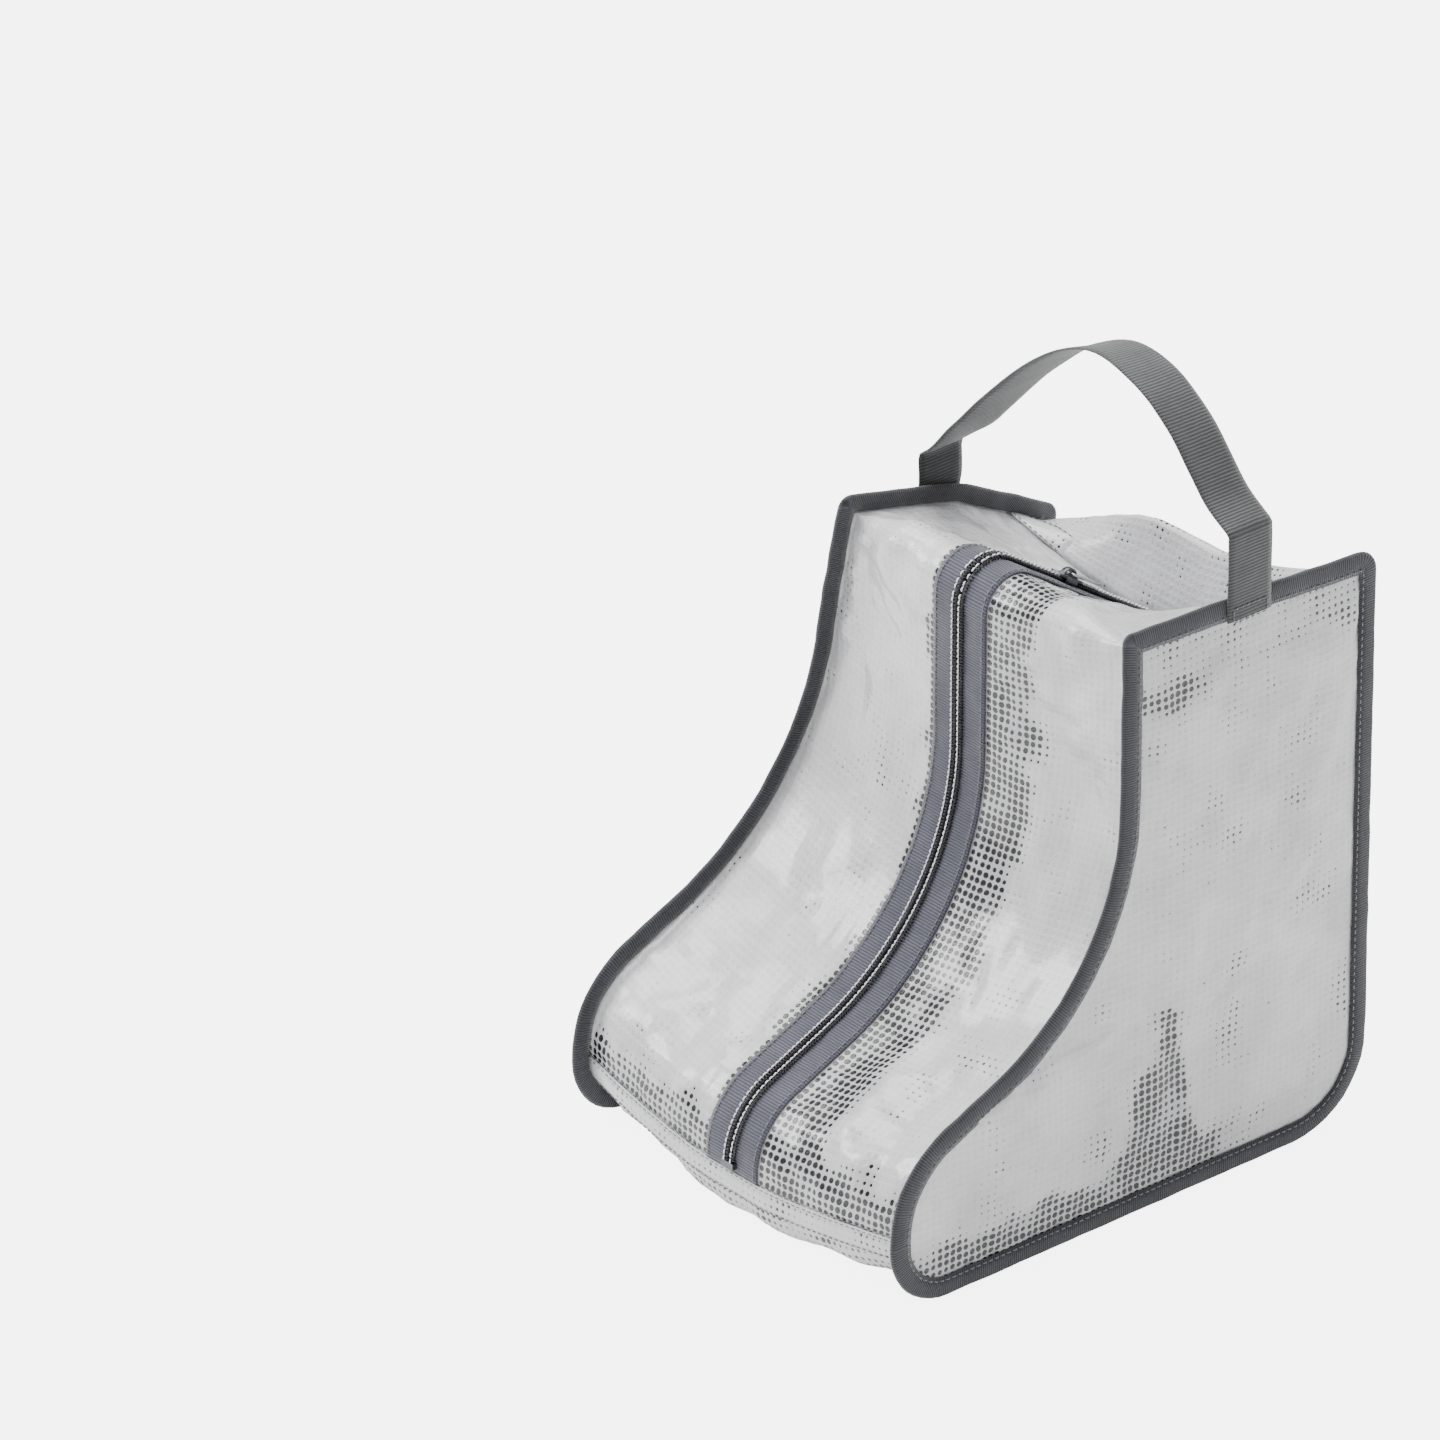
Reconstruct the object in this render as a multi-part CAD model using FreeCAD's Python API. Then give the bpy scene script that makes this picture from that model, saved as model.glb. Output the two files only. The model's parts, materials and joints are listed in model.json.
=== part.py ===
import FreeCAD, Part
import math
import os

# Boot-shaped zip bag for footwear. Millimetres, Z up, front (zipper side) towards -Y, +X right.
# The origin is at the middle of the footprint, on the floor.

# ---- overall size ----
bag_width = 236.0            # across the two bindings
bag_length = 300.0           # toe to back, along the side panel
top_front_height = 315.0     # side panel's top edge at the front corner
top_back_height = 308.0      # side panel's top edge at the back corner

# ---- side panel outline ----
shaft_front_share = 0.47     # front edge of the upright part, from the toe, as a share of the length
instep_height = 138.0        # where the toe slope would meet the upright part
toe_height = 75.0            # where the toe slope would meet the front of the toe
instep_radius = 130.0
toe_top_reach = 0.476        # share of the toe's height that its upper curve takes
toe_bottom_reach = 0.467     # and its lower curve
heel_radius = 46.0
top_front_radius = 5.0
top_back_radius = 11.0

# ---- sag of the soft bag ----
left_lean_deg = 5.2          # left side panel leans inwards
left_front_drop = 4.0        # left panel's top front corner is lower than the right one's
left_back_drop = 58.0        # left panel's top back corner hangs lower than the right one's
left_back_pull = 9.0         # and is pulled forward
zipper_back_drop = 78.0      # the zipper's back end hangs this far below the side panel's top back corner

# ---- cloth and tapes ----
fabric_thickness = 0.6
binding_thickness = 0.8
seam_allowance = 10.0        # the gusset stands this far inside the binding's outer edge
binding_width = 11.0         # outer leg of the folded tape
binding_inner_gap = 0.5      # the inner leg stops this far from the gusset
tape_thickness = 0.8
tape_width = 17.5            # one zipper tape
tape_gap = 2.0               # between the two tapes, where the slider's neck runs
fabric_gap = 21.0            # between the two front panels, under the tapes
coil_width = 2.6
coil_height = 2.2

# ---- middle of the gusset ----
crown_out = 8.5              # the middle of the front stands this far in front of the gusset's seam lines
instep_sag = 6.5             # the middle of the instep lies this far below them
belly_share = 0.7            # how much of the middle's shape is reached at the belly line
belly_place = 0.25           # belly line, as a share of the width from the middle
flat_half_width = 20.0       # half of the strip beside the zipper that is straight across
crest_radius = 16.0
nose_radius = 16.0
toe_seam_share = 0.493       # toe seam at the side panels, as a share of the toe's height
toe_seam_dip = 9.0           # and how much lower it is in the middle
back_fold = 30.0             # the back panel folds over the top this far, up to the top seam
fold_radius = 6.0            # back panel's fold over the top edge
seam_pull = 2.0              # the top seam is pulled forward this far in the middle
floor_gap = 0.2              # the middle of the bottom hangs this far over the floor

# ---- hems ----
hem_width = 10.0
hem_thickness = 1.0
hem_start = 1.6              # from the seam to the hem's edge
hem_gap = 0.3                # between the fabric and the hem's underside
hem_side_gap = 1.0           # between the binding and the hem's end

# ---- slider and pull ----
slide_clearance = 0.4
slider_place = 0.415         # middle of the slider, as a share of the top from front to back
slider_length = 17.0
slider_width = 11.6
wing_thickness = 1.2
guide_thickness = 1.2
guide_drop = 2.0
neck_width = 1.2
neck_length = 4.0
neck_setback = 1.0           # from the slider's front end to its neck
slider_corner_radius = 2.9
guide_length = 8.5
bridge_width = 3.0
bridge_length = 10.0
bridge_bar = 1.2
bridge_foot = 1.8
bridge_window = 3.0
bridge_round = 0.48          # rounding of the bar's upper edges
pull_bar_diameter = 1.6
pull_bar_inset = 0.1         # the bar's ends stop this far inside the arms' outer faces
pull_width = 8.0
pull_arm_width = 1.5
pull_ring_length = 7.5
pull_length = 22.0
pull_thickness = 1.5
pull_corner_radius = 2.6
stop_length = 3.5
stop_overlap = 0.5           # a stop stands this far above and beside the coil
stop_margin = 2.6            # from the seam to the stop
tape_end_gap = 2.2           # from the top seam to the tape's end

# ---- handle ----
strap_width = 27.0
strap_thickness = 1.6
strap_place = 0.453          # middle of the strap, as a share of the top from front to back
strap_overlap = 11.0         # sewn length on the binding
strap_bend_radius = 11.0     # where the left end leaves the leaning panel and stands upright
right_fold_rise = 35.2       # from the panel's top edge to where the strap folds inwards
left_fold_rise = 25.1
arch_peak_rise = 118.0       # from the top to where the two slopes of the arch would meet
arch_peak_x = 30.0
arch_radius = 60.0
left_fold_gap = 2.5          # between the standing end and the arch
right_fold_gap = 8.5         # wider, because the swing axis tilts

# ---- sewing thread ----
thread_width = 0.6
thread_height = 0.25
thread_inset = 1.6           # from the edge of the tape or binding that it holds
box_stitch_width = 21.0
box_stitch_height = 7.0

# ---- worked out from the sizes above ----
rim = 2 * (binding_thickness + fabric_thickness)
flange_inner = binding_thickness
flange_outer = flange_inner + fabric_thickness
panel_outer = flange_outer + fabric_thickness
tape_outer_edge = tape_gap / 2 + tape_width
tape_bottom = fabric_thickness
tape_top = tape_bottom + tape_thickness
coil_top = tape_top + coil_height
strap_seat = rim + thread_height   # the strap lies on the binding's row of stitches
shaft_front_y = shaft_front_share * bag_length
slider_place_y = shaft_front_y + slider_place * (bag_length - shaft_front_y)
strap_place_y = shaft_front_y + strap_place * (bag_length - shaft_front_y)
toe_slope = (instep_height - toe_height) / shaft_front_y
toe_turn = math.pi / 2 - math.atan(toe_slope)
toe_top_radius = toe_top_reach * toe_height / math.tan(toe_turn / 2)
toe_bottom_radius = toe_bottom_reach * toe_height
toe_seam_height = toe_seam_share * toe_height
cutter_margin = 1.0                # a cutting block stands this far past what it cuts
parallel = 0.9                     # cosine past which an edge counts as running along an axis


def add(a, b, k=1.0):
    return (a[0] + k * b[0], a[1] + k * b[1])


def unit(a, b):
    """Unit vector from a to b."""
    size = math.hypot(b[0] - a[0], b[1] - a[1])
    return ((b[0] - a[0]) / size, (b[1] - a[1]) / size)


# A corner is (y, z, fillet radius). An outline runs from the toe over the instep and top to the back,
# then down and along the floor, so inwards is to the right of the way it runs.
def inset(corners, distance, closed, least=0.4):
    """Corners moved inwards by distance, with their fillets kept concentric."""
    moved = []
    count = len(corners)
    for n in range(count):
        here = corners[n]
        before = corners[(n - 1) % count] if closed or n > 0 else None
        after = corners[(n + 1) % count] if closed or n < count - 1 else None
        into = unit(before, here) if before else unit(here, after)
        out = unit(here, after) if after else into
        n1 = (into[1], -into[0])
        n2 = (out[1], -out[0])
        share = distance / (1 + n1[0] * n2[0] + n1[1] * n2[1])
        y, z = add(here, add(n1, n2), share)
        turn = into[0] * out[1] - into[1] * out[0]
        radius = here[2]
        if radius > 0:
            radius = max(radius + (distance if turn > 0 else -distance), least)
        moved.append((y, z, radius))
    return moved


def edges_of(corners, closed):
    """Lines and arcs through filleted corners, in the YZ plane."""
    count = len(corners)
    starts = []
    ends = []
    middles = []
    for n in range(count):
        here = corners[n]
        inner = closed or 0 < n < count - 1
        if not inner or here[2] <= 0:
            starts.append(here[:2])
            ends.append(here[:2])
            middles.append(None)
            continue
        back = unit(here, corners[(n - 1) % count])
        on = unit(here, corners[(n + 1) % count])
        half = math.acos(max(-1.0, min(1.0, back[0] * on[0] + back[1] * on[1]))) / 2
        reach = here[2] / math.tan(half)
        bisector = unit((0, 0), add(back, on))
        starts.append(add(here, back, reach))
        ends.append(add(here, on, reach))
        middles.append(add(here, bisector, here[2] / math.sin(half) - here[2]))
    edges = []
    for n in range(count):
        if middles[n]:
            arc = Part.Arc(vec(starts[n]), vec(middles[n]), vec(ends[n]))
            edges.append(arc.toShape())
        if closed or n < count - 1:
            edges.append(Part.LineSegment(vec(ends[n]), vec(starts[(n + 1) % count])).toShape())
    return edges


def vec(point, x=0.0):
    return FreeCAD.Vector(x, point[0], point[1])


def ring_wire(corners):
    return Part.Wire(edges_of(corners, True))


def strip_wire(inner, outer):
    """Closed outline of a strip between two open runs."""
    there = edges_of(outer, False)
    back = edges_of(inner[::-1], False)
    cap_end = Part.LineSegment(vec(outer[-1]), vec(inner[-1])).toShape()
    cap_start = Part.LineSegment(vec(inner[0]), vec(outer[0])).toShape()
    return Part.Wire(there + [cap_end] + back + [cap_start])


def open_strip_wire(corners, low, high):
    """Closed outline of a strip that follows an open run, from low to high outwards of it."""
    return strip_wire(inset(corners, -low, False), inset(corners, -high, False))


def trimmed(corners, start, end):
    """An open run shortened at both ends, along its first and last edge."""
    first = add(corners[0], unit(corners[0], corners[1]), start)
    last = add(corners[-1], unit(corners[-1], corners[-2]), end)
    return [first + (0.0,)] + corners[1:-1] + [last + (0.0,)]


def at_y(a, b, y):
    """The point at y on the line through a and b."""
    return (y, a[1] + (b[1] - a[1]) * (y - a[0]) / (b[0] - a[0]))


# ---- outlines ----
def panel_outline(side):
    """Outer edge of a side panel's binding. side is 1 for right and -1 for left."""
    left = side < 0
    front_top = top_front_height - (left_front_drop if left else 0)
    back_top = top_back_height - (left_back_drop if left else 0)
    back_y = bag_length - (left_back_pull if left else 0)
    return [
        (0.0, 0.0, toe_bottom_radius),
        (0.0, toe_height, toe_top_radius),
        (shaft_front_y, instep_height, instep_radius),
        (shaft_front_y, front_top, top_front_radius),
        (back_y, back_top, top_back_radius),
        (bag_length, 0.0, heel_radius),
    ]


# A gusset loop is an outline with the two cross seams added as corners: it runs from the toe seam over the
# front to the top seam (the front run), then down the back and along the floor (the back run).
FRONT = 0
BACK = 1
TOE_SEAM = 0
TOP_SEAM = 4


def run_of(loop, which):
    if which == FRONT:
        return loop[:TOP_SEAM + 1]
    return loop[TOP_SEAM:] + loop[:1]


def panel_loop(side):
    """The binding's outer edge, with the seams as corners."""
    toe_bottom, toe_top, instep, top_front, top_back, heel = panel_outline(side)
    toe_seam = (toe_bottom[0], toe_seam_height, 0.0)
    top_seam = at_y(top_front, top_back, bag_length - back_fold) + (0.0,)
    return [toe_seam, toe_top, instep, top_front, top_seam, top_back, heel, toe_bottom]


def side_loop(side):
    """The gusset's inner face at a side panel."""
    return inset(panel_loop(side), seam_allowance + fabric_thickness, True)


def middle_loop():
    """The gusset's inner face along the zipper."""
    depth = seam_allowance + fabric_thickness
    nose_y = depth - crown_out
    front_y = shaft_front_y + depth - crown_out
    slope_drop = (depth + instep_sag) * math.hypot(1.0, toe_slope)
    toe_top_z = toe_height + toe_slope * nose_y - slope_drop
    instep_z = toe_height + toe_slope * front_y - slope_drop
    seam_z = top_back_height - zipper_back_drop
    back_y = bag_length - depth
    bottom_z = fabric_thickness + floor_gap
    return [
        (nose_y, toe_seam_height - toe_seam_dip, 0.0),
        (nose_y, toe_top_z, toe_top_radius - depth - instep_sag),
        (front_y, instep_z, instep_radius + depth),
        (front_y, top_front_height, crest_radius),
        (bag_length - back_fold - seam_pull, seam_z, 0.0),
        (back_y, seam_z + back_fold, fold_radius),
        (back_y, bottom_z, heel_radius - depth),
        (nose_y, bottom_z, nose_radius),
    ]


def zipper_run():
    return run_of(middle_loop(), FRONT)


def between(side_corners, middle_corners, share):
    """Corners part of the way from the side's to the middle's."""
    return [tuple(a + (b - a) * share for a, b in zip(s, m)) for s, m in zip(side_corners, middle_corners)]


def lean(side):
    return left_lean_deg if side < 0 else 0.0


def side_place(side):
    """Puts a piece drawn with X = distance outwards from the rim's inner face on its side of the bag."""
    spot = FreeCAD.Vector(side * (bag_width / 2 - rim), -bag_length / 2, 0.0)
    return FreeCAD.Placement(spot, FreeCAD.Rotation(FreeCAD.Vector(0, 1, 0), -side * lean(side)))


def placed(shape, side):
    shape = shape.copy()
    shape.Placement = side_place(side)
    return shape


def plate(side, wires, low, high):
    """A flat piece parallel to the side panel: a wire and maybe a hole, from low to high outwards."""
    face = Part.Face(wires[0])
    for hole in wires[1:]:
        face = face.cut(Part.Face(hole)).Faces[0]
    face.translate(FreeCAD.Vector(side * low, 0, 0))
    return face.extrude(FreeCAD.Vector(side * (high - low), 0, 0))


def gusset_wire(loop, which, low, high):
    """End outline of a gusset piece, from low to high outwards of its inner face, mitred at the seams."""
    inner = run_of(inset(loop, -low, True), which)
    outer = run_of(inset(loop, -high, True), which)
    return strip_wire(inner, outer)


def upright(wire, x):
    """Stands a wire at x, across the bag."""
    wire.translate(FreeCAD.Vector(x, -bag_length / 2, 0))
    return wire


def at_side(wire, side):
    """Stands a wire in a side panel's plane, at the outer face of the seam flange."""
    wire.translate(FreeCAD.Vector(side * flange_outer, 0, 0))
    wire.Placement = side_place(side).multiply(wire.Placement)
    return wire


def loft(wires):
    return Part.makeLoft(wires, True, True)


def one(shapes):
    """Shapes joined into one solid."""
    joined = shapes[0].fuse(shapes[1:]).removeSplitter()
    solids = joined.Solids
    if len(solids) != 1:
        raise ValueError("a piece came out in %d solids" % len(solids))
    return solids[0]


# ---- soft pieces ----
def side_panel(side):
    edge = ring_wire(inset(panel_outline(side), binding_thickness, True))
    return placed(plate(side, [edge], flange_outer, panel_outer), side)


def edge_binding(side):
    """A tape folded round the edge of the side panel and the seam flanges."""
    outline = panel_outline(side)
    outer = ring_wire(outline)
    leg = ring_wire(inset(outline, binding_width, True))
    inner_leg = ring_wire(inset(outline, seam_allowance - binding_inner_gap, True))
    wall = ring_wire(inset(outline, binding_thickness, True))
    parts = [
        plate(side, [outer, inner_leg], 0.0, flange_inner),
        plate(side, [outer, wall], flange_inner, panel_outer),
        plate(side, [outer, leg], panel_outer, rim),
    ]
    return placed(one(parts), side)


def flange(side, which):
    """The seam allowance of a gusset piece, turned outwards against the side panel."""
    loop = panel_loop(side)
    # its inner edge ends inside the gusset's own thickness, so that the two join
    depth = seam_allowance + fabric_thickness / 2
    outer = run_of(inset(loop, binding_thickness, True), which)
    inner = run_of(inset(loop, depth, True), which)
    return placed(plate(side, [strip_wire(inner, outer)], flange_inner, flange_outer), side)


def half_wires(side, which):
    """End outlines of a gusset piece, from a side panel to the flat strip along the zipper."""
    edge = side_loop(side)
    middle = middle_loop()
    belly = between(edge, middle, belly_share)
    t = fabric_thickness
    return [
        at_side(gusset_wire(edge, which, 0, t), side),
        upright(gusset_wire(belly, which, 0, t), side * belly_place * bag_width),
        upright(gusset_wire(middle, which, 0, t), side * flat_half_width),
    ]


def front_panel(side):
    """Half of the front and top, from the side panel to the zipper tape."""
    wires = half_wires(side, FRONT)
    edge = upright(gusset_wire(middle_loop(), FRONT, 0, fabric_thickness), side * fabric_gap / 2)
    return one([loft(wires + [edge]), flange(side, FRONT)])


def back_and_bottom_panel():
    skin = loft(half_wires(-1, BACK) + half_wires(1, BACK)[::-1])
    return one([skin, flange(-1, BACK), flange(1, BACK)])


def hem_wire(loop, at_top, x):
    """End outline of a hem: a flat strip on the back run, from the seam on."""
    run = run_of(loop, BACK)
    seam = run[0] if at_top else run[-1]
    along = unit(seam, run[1] if at_top else run[-2])
    start = add(seam, along, hem_start) + (0.0,)
    end = add(seam, along, hem_start + hem_width) + (0.0,)
    low = fabric_thickness + hem_gap
    corners = [start, end] if at_top else [end, start]
    return upright(open_strip_wire(corners, low, low + hem_thickness), x)


def seam_hem(at_top):
    """The hem over the top seam, or over the toe seam."""
    middle = middle_loop()
    halves = []
    for side in (-1, 1):
        edge = side_loop(side)
        belly_x = belly_place * bag_width
        seam_z = edge[TOP_SEAM if at_top else TOE_SEAM][1]
        edge_x = bag_width / 2 - rim + flange_outer - seam_z * math.tan(math.radians(lean(side)))
        near_x = edge_x - flange_outer - hem_side_gap
        share = belly_share * (edge_x - near_x) / (edge_x - belly_x)
        halves.append([
            hem_wire(between(edge, middle, share), at_top, side * near_x),
            hem_wire(between(edge, middle, belly_share), at_top, side * belly_x),
            hem_wire(middle, at_top, side * flat_half_width),
        ])
    return loft(halves[0] + halves[1][::-1])


# ---- zipper ----
def zipper_strip(x_low, x_high, low, high, start, end):
    """A strip along the zipper, straight across, cut back by start at the toe and end at the top seam."""
    run = zipper_run()
    wire = upright(open_strip_wire(run, low, high), x_low)
    strip = Part.Face(wire).extrude(FreeCAD.Vector(x_high - x_low, 0, 0))
    x = (x_low - cutter_margin, x_high + cutter_margin)
    z = (low - cutter_margin, high + cutter_margin)
    if start > 0:
        cutter = block(x, (-cutter_margin, start), z)
        strip = strip.cut(on_run(cutter, run[0], angle_of(run[0], run[1])))
    if end > 0:
        cutter = block(x, (-end, cutter_margin), z)
        strip = strip.cut(on_run(cutter, run[-1], angle_of(run[-2], run[-1])))
    return strip.Solids[0]


def sided(side, low, high):
    """The two ends of a span from low to high outwards of the middle, lowest first."""
    return (low, high) if side > 0 else (-high, -low)


def zipper_tape(side):
    x = sided(side, tape_gap / 2, tape_outer_edge)
    return zipper_strip(x[0], x[1], tape_bottom, tape_top, 0, tape_end_gap)


def zipper_coil(side):
    x = sided(side, tape_gap / 2, tape_gap / 2 + coil_width)
    margin = stop_margin + stop_length
    return zipper_strip(x[0], x[1], tape_top, coil_top, margin, margin)


def tape_stitching(side):
    x = sided(side, tape_outer_edge - thread_inset - thread_width, tape_outer_edge - thread_inset)
    return zipper_strip(x[0], x[1], tape_top, tape_top + thread_height, stop_margin, stop_margin)


def angle_of(a, b):
    return math.degrees(math.atan2(b[1] - a[1], b[0] - a[0]))


def on_run(shape, spot, angle):
    """Moves a shape drawn with Y along the zipper and Z out of the fabric to its place."""
    shape = shape.copy()
    at = FreeCAD.Vector(0, spot[0] - bag_length / 2, spot[1])
    shape.Placement = FreeCAD.Placement(at, FreeCAD.Rotation(FreeCAD.Vector(1, 0, 0), angle))
    return shape


def block(x, y, z):
    """A box from three (low, high) spans."""
    corner = FreeCAD.Vector(x[0], y[0], z[0])
    return Part.makeBox(x[1] - x[0], y[1] - y[0], z[1] - z[0], corner)


def zipper_bottom_stop():
    half = tape_gap / 2 + coil_width + stop_overlap
    run = zipper_run()
    y = (stop_margin, stop_margin + stop_length)
    stop = block((-half, half), y, (tape_top, coil_top + stop_overlap))
    return on_run(stop, run[0], angle_of(run[0], run[1]))


def zipper_top_stops():
    run = zipper_run()
    stops = []
    for side in (-1, 1):
        x = sided(side, tape_gap / 2, tape_gap / 2 + coil_width + stop_overlap)
        y = (-stop_margin - stop_length, -stop_margin)
        stop = block(x, y, (tape_top, coil_top + stop_overlap))
        stops.append(on_run(stop, run[-1], angle_of(run[-2], run[-1])))
    return Part.makeCompound(stops)


# ---- slider: Y along the zipper towards the back, Z out of the fabric, origin on the fabric's inner face ----
def slider_spot():
    run = zipper_run()
    return at_y(run[-2], run[-1], slider_place_y), angle_of(run[-2], run[-1])


def wing_bottom():
    return coil_top + slide_clearance


def wing_top():
    return wing_bottom() + wing_thickness


def pull_axis_height():
    return wing_top() + bridge_window / 2


def edges_along(shape, axis):
    """The straight edges of a shape that run along an axis."""
    return [e for e in shape.Edges if abs(e.tangentAt(e.FirstParameter).dot(axis)) > parallel]


def slider_wing(low, high):
    """One of the slider's two plates, with rounded corners."""
    half = slider_width / 2
    plate_block = block((-half, half), (-slider_length / 2, slider_length / 2), (low, high))
    return plate_block.makeFillet(slider_corner_radius, edges_along(plate_block, FreeCAD.Vector(0, 0, 1)))


def slider_bridge():
    """The loop on top of the slider that holds the pull."""
    half = bridge_width / 2
    low = wing_top() + bridge_window
    bar = block((-half, half), (-bridge_length / 2, bridge_length / 2), (low, low + bridge_bar))
    long_edges = edges_along(bar, FreeCAD.Vector(0, 1, 0))
    top_edges = [e for e in long_edges if e.CenterOfMass.z > low + bridge_bar / 2]
    parts = [bar.makeFillet(bridge_round, top_edges)]
    for end in (-1, 1):
        y = sided(end, bridge_length / 2 - bridge_foot, bridge_length / 2)
        parts.append(block((-half, half), y, (wing_bottom(), low + bridge_bar / 2)))
    return parts


def zipper_slider():
    half = slider_width / 2
    lower_top = tape_bottom - slide_clearance
    lower_bottom = lower_top - wing_thickness
    neck_start = -slider_length / 2 + neck_setback
    neck_y = (neck_start, neck_start + neck_length)
    parts = [
        slider_wing(wing_bottom(), wing_top()),
        slider_wing(lower_bottom, lower_top),
        block((-neck_width / 2, neck_width / 2), neck_y, (lower_bottom, wing_top())),
    ]
    for side in (-1, 1):
        x = sided(side, half - guide_thickness, half)
        y = (-guide_length / 2, guide_length / 2)
        parts.append(block(x, y, (wing_bottom() - guide_drop, wing_top())))
    spot, angle = slider_spot()
    return on_run(one(parts + slider_bridge()), spot, angle)


def pull_tab():
    z = pull_axis_height()
    half = pull_width / 2
    low = z - pull_thickness / 2
    high = z + pull_thickness / 2
    bar = Part.makeCylinder(
        pull_bar_diameter / 2, pull_width - 2 * pull_bar_inset,
        FreeCAD.Vector(-half + pull_bar_inset, 0, z), FreeCAD.Vector(1, 0, 0),
    )
    parts = [bar]
    for side in (-1, 1):
        x = sided(side, half - pull_arm_width, half)
        parts.append(block(x, (0, pull_ring_length), (low, high)))
    blade = block((-half, half), (pull_ring_length, pull_length), (low, high))
    corners = edges_along(blade, FreeCAD.Vector(0, 0, 1))
    far = [e for e in corners if e.CenterOfMass.y > (pull_ring_length + pull_length) / 2]
    parts.append(blade.makeFillet(pull_corner_radius, far))
    spot, angle = slider_spot()
    return on_run(one(parts), spot, angle)


# ---- handle ----
def strap_top_edge(side):
    """Height of the side panel's top edge at the middle of the strap, in the panel's plane."""
    outline = panel_outline(side)
    return at_y(outline[3], outline[4], strap_place_y)[1]


def strap_foot(side):
    """Middle of the strap's thickness where it leaves the binding's top edge, as (x, z)."""
    edge = side_place(side).multVec(
        FreeCAD.Vector(side * (strap_seat + strap_thickness / 2), 0, strap_top_edge(side))
    )
    return (edge.x, edge.z)


def fold_point(side):
    """Where the strap folds, as (x, z)."""
    x, z = strap_foot(side)
    return (x, z + (right_fold_rise if side > 0 else left_fold_rise))


def strap_solid(corners, gap_start, gap_end):
    """A strap that follows (x, z, radius) corners, with its width along Y."""
    run = trimmed(corners, gap_start, gap_end)
    wire = open_strip_wire(run, -strap_thickness / 2, strap_thickness / 2)
    # the run is drawn in YZ; a quarter turn about Z lays its first axis on X
    wire.rotate(FreeCAD.Vector(0, 0, 0), FreeCAD.Vector(0, 0, 1), -90)
    wire.translate(FreeCAD.Vector(0, strap_place_y - bag_length / 2 - strap_width / 2, 0))
    return Part.Face(wire).extrude(FreeCAD.Vector(0, strap_width, 0))


def handle_arch():
    left = fold_point(-1) + (0.0,)
    right = fold_point(1) + (0.0,)
    peak = (arch_peak_x, top_front_height + arch_peak_rise, arch_radius)
    return strap_solid([left, peak, right], left_fold_gap, right_fold_gap)


def handle_end(side):
    """The strap's end: sewn over the binding, then standing up to the fold."""
    foot = strap_foot(side)
    low = strap_top_edge(side) - strap_overlap
    bottom = side_place(side).multVec(FreeCAD.Vector(side * (strap_seat + strap_thickness / 2), 0, low))
    bend = [foot + (strap_bend_radius,)] if lean(side) else []
    corners = [(bottom.x, bottom.z, 0.0)] + bend + [fold_point(side) + (0.0,)]
    return strap_solid(corners, 0.0, 0.0)


def handle_stitching(side):
    """A box of stitches through the sewn end."""
    top = strap_top_edge(side) - (strap_overlap - box_stitch_height) / 2
    y = (strap_place_y - box_stitch_width / 2, strap_place_y + box_stitch_width / 2)
    outer = Part.makePolygon([
        vec((y[0], top - box_stitch_height)), vec((y[1], top - box_stitch_height)),
        vec((y[1], top)), vec((y[0], top)), vec((y[0], top - box_stitch_height)),
    ])
    w = thread_width
    inner = Part.makePolygon([
        vec((y[0] + w, top - box_stitch_height + w)), vec((y[1] - w, top - box_stitch_height + w)),
        vec((y[1] - w, top - w)), vec((y[0] + w, top - w)),
        vec((y[0] + w, top - box_stitch_height + w)),
    ])
    low = strap_seat + strap_thickness
    return placed(plate(side, [outer, inner], low, low + thread_height), side)


def binding_stitching(side):
    """The row of stitches that holds the binding, near its inner edge."""
    outline = panel_outline(side)
    near = binding_width - thread_inset
    outer = ring_wire(inset(outline, near - thread_width, True))
    inner = ring_wire(inset(outline, near, True))
    return placed(plate(side, [outer, inner], rim, rim + thread_height), side)


def main():
    sides = {"left": -1, "right": 1}
    nodes = {
        "back_and_bottom_panel": back_and_bottom_panel(),
        "toe_seam_hem": seam_hem(False),
        "top_seam_hem": seam_hem(True),
        "zipper_bottom_stop": zipper_bottom_stop(),
        "zipper_top_stops": zipper_top_stops(),
        "zipper_slider": zipper_slider(),
        "zipper_pull_tab": pull_tab(),
        "handle_arch": handle_arch(),
    }
    for name, side in sides.items():
        nodes["side_panel_" + name] = side_panel(side)
        nodes["edge_binding_" + name] = edge_binding(side)
        nodes["binding_stitching_" + name] = binding_stitching(side)
        nodes["front_panel_" + name] = front_panel(side)
        nodes["zipper_tape_" + name] = zipper_tape(side)
        nodes["zipper_coil_" + name] = zipper_coil(side)
        nodes["tape_stitching_" + name] = tape_stitching(side)
        nodes["handle_end_" + name] = handle_end(side)
        nodes["handle_stitching_" + name] = handle_stitching(side)
    os.makedirs("parts", exist_ok=True)
    for name, shape in nodes.items():
        shape.exportStep(os.path.join("parts", name + ".step"))


main()
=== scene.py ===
import json
import math
import random

import bpy
from mathutils import Matrix, Vector, noise


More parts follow.
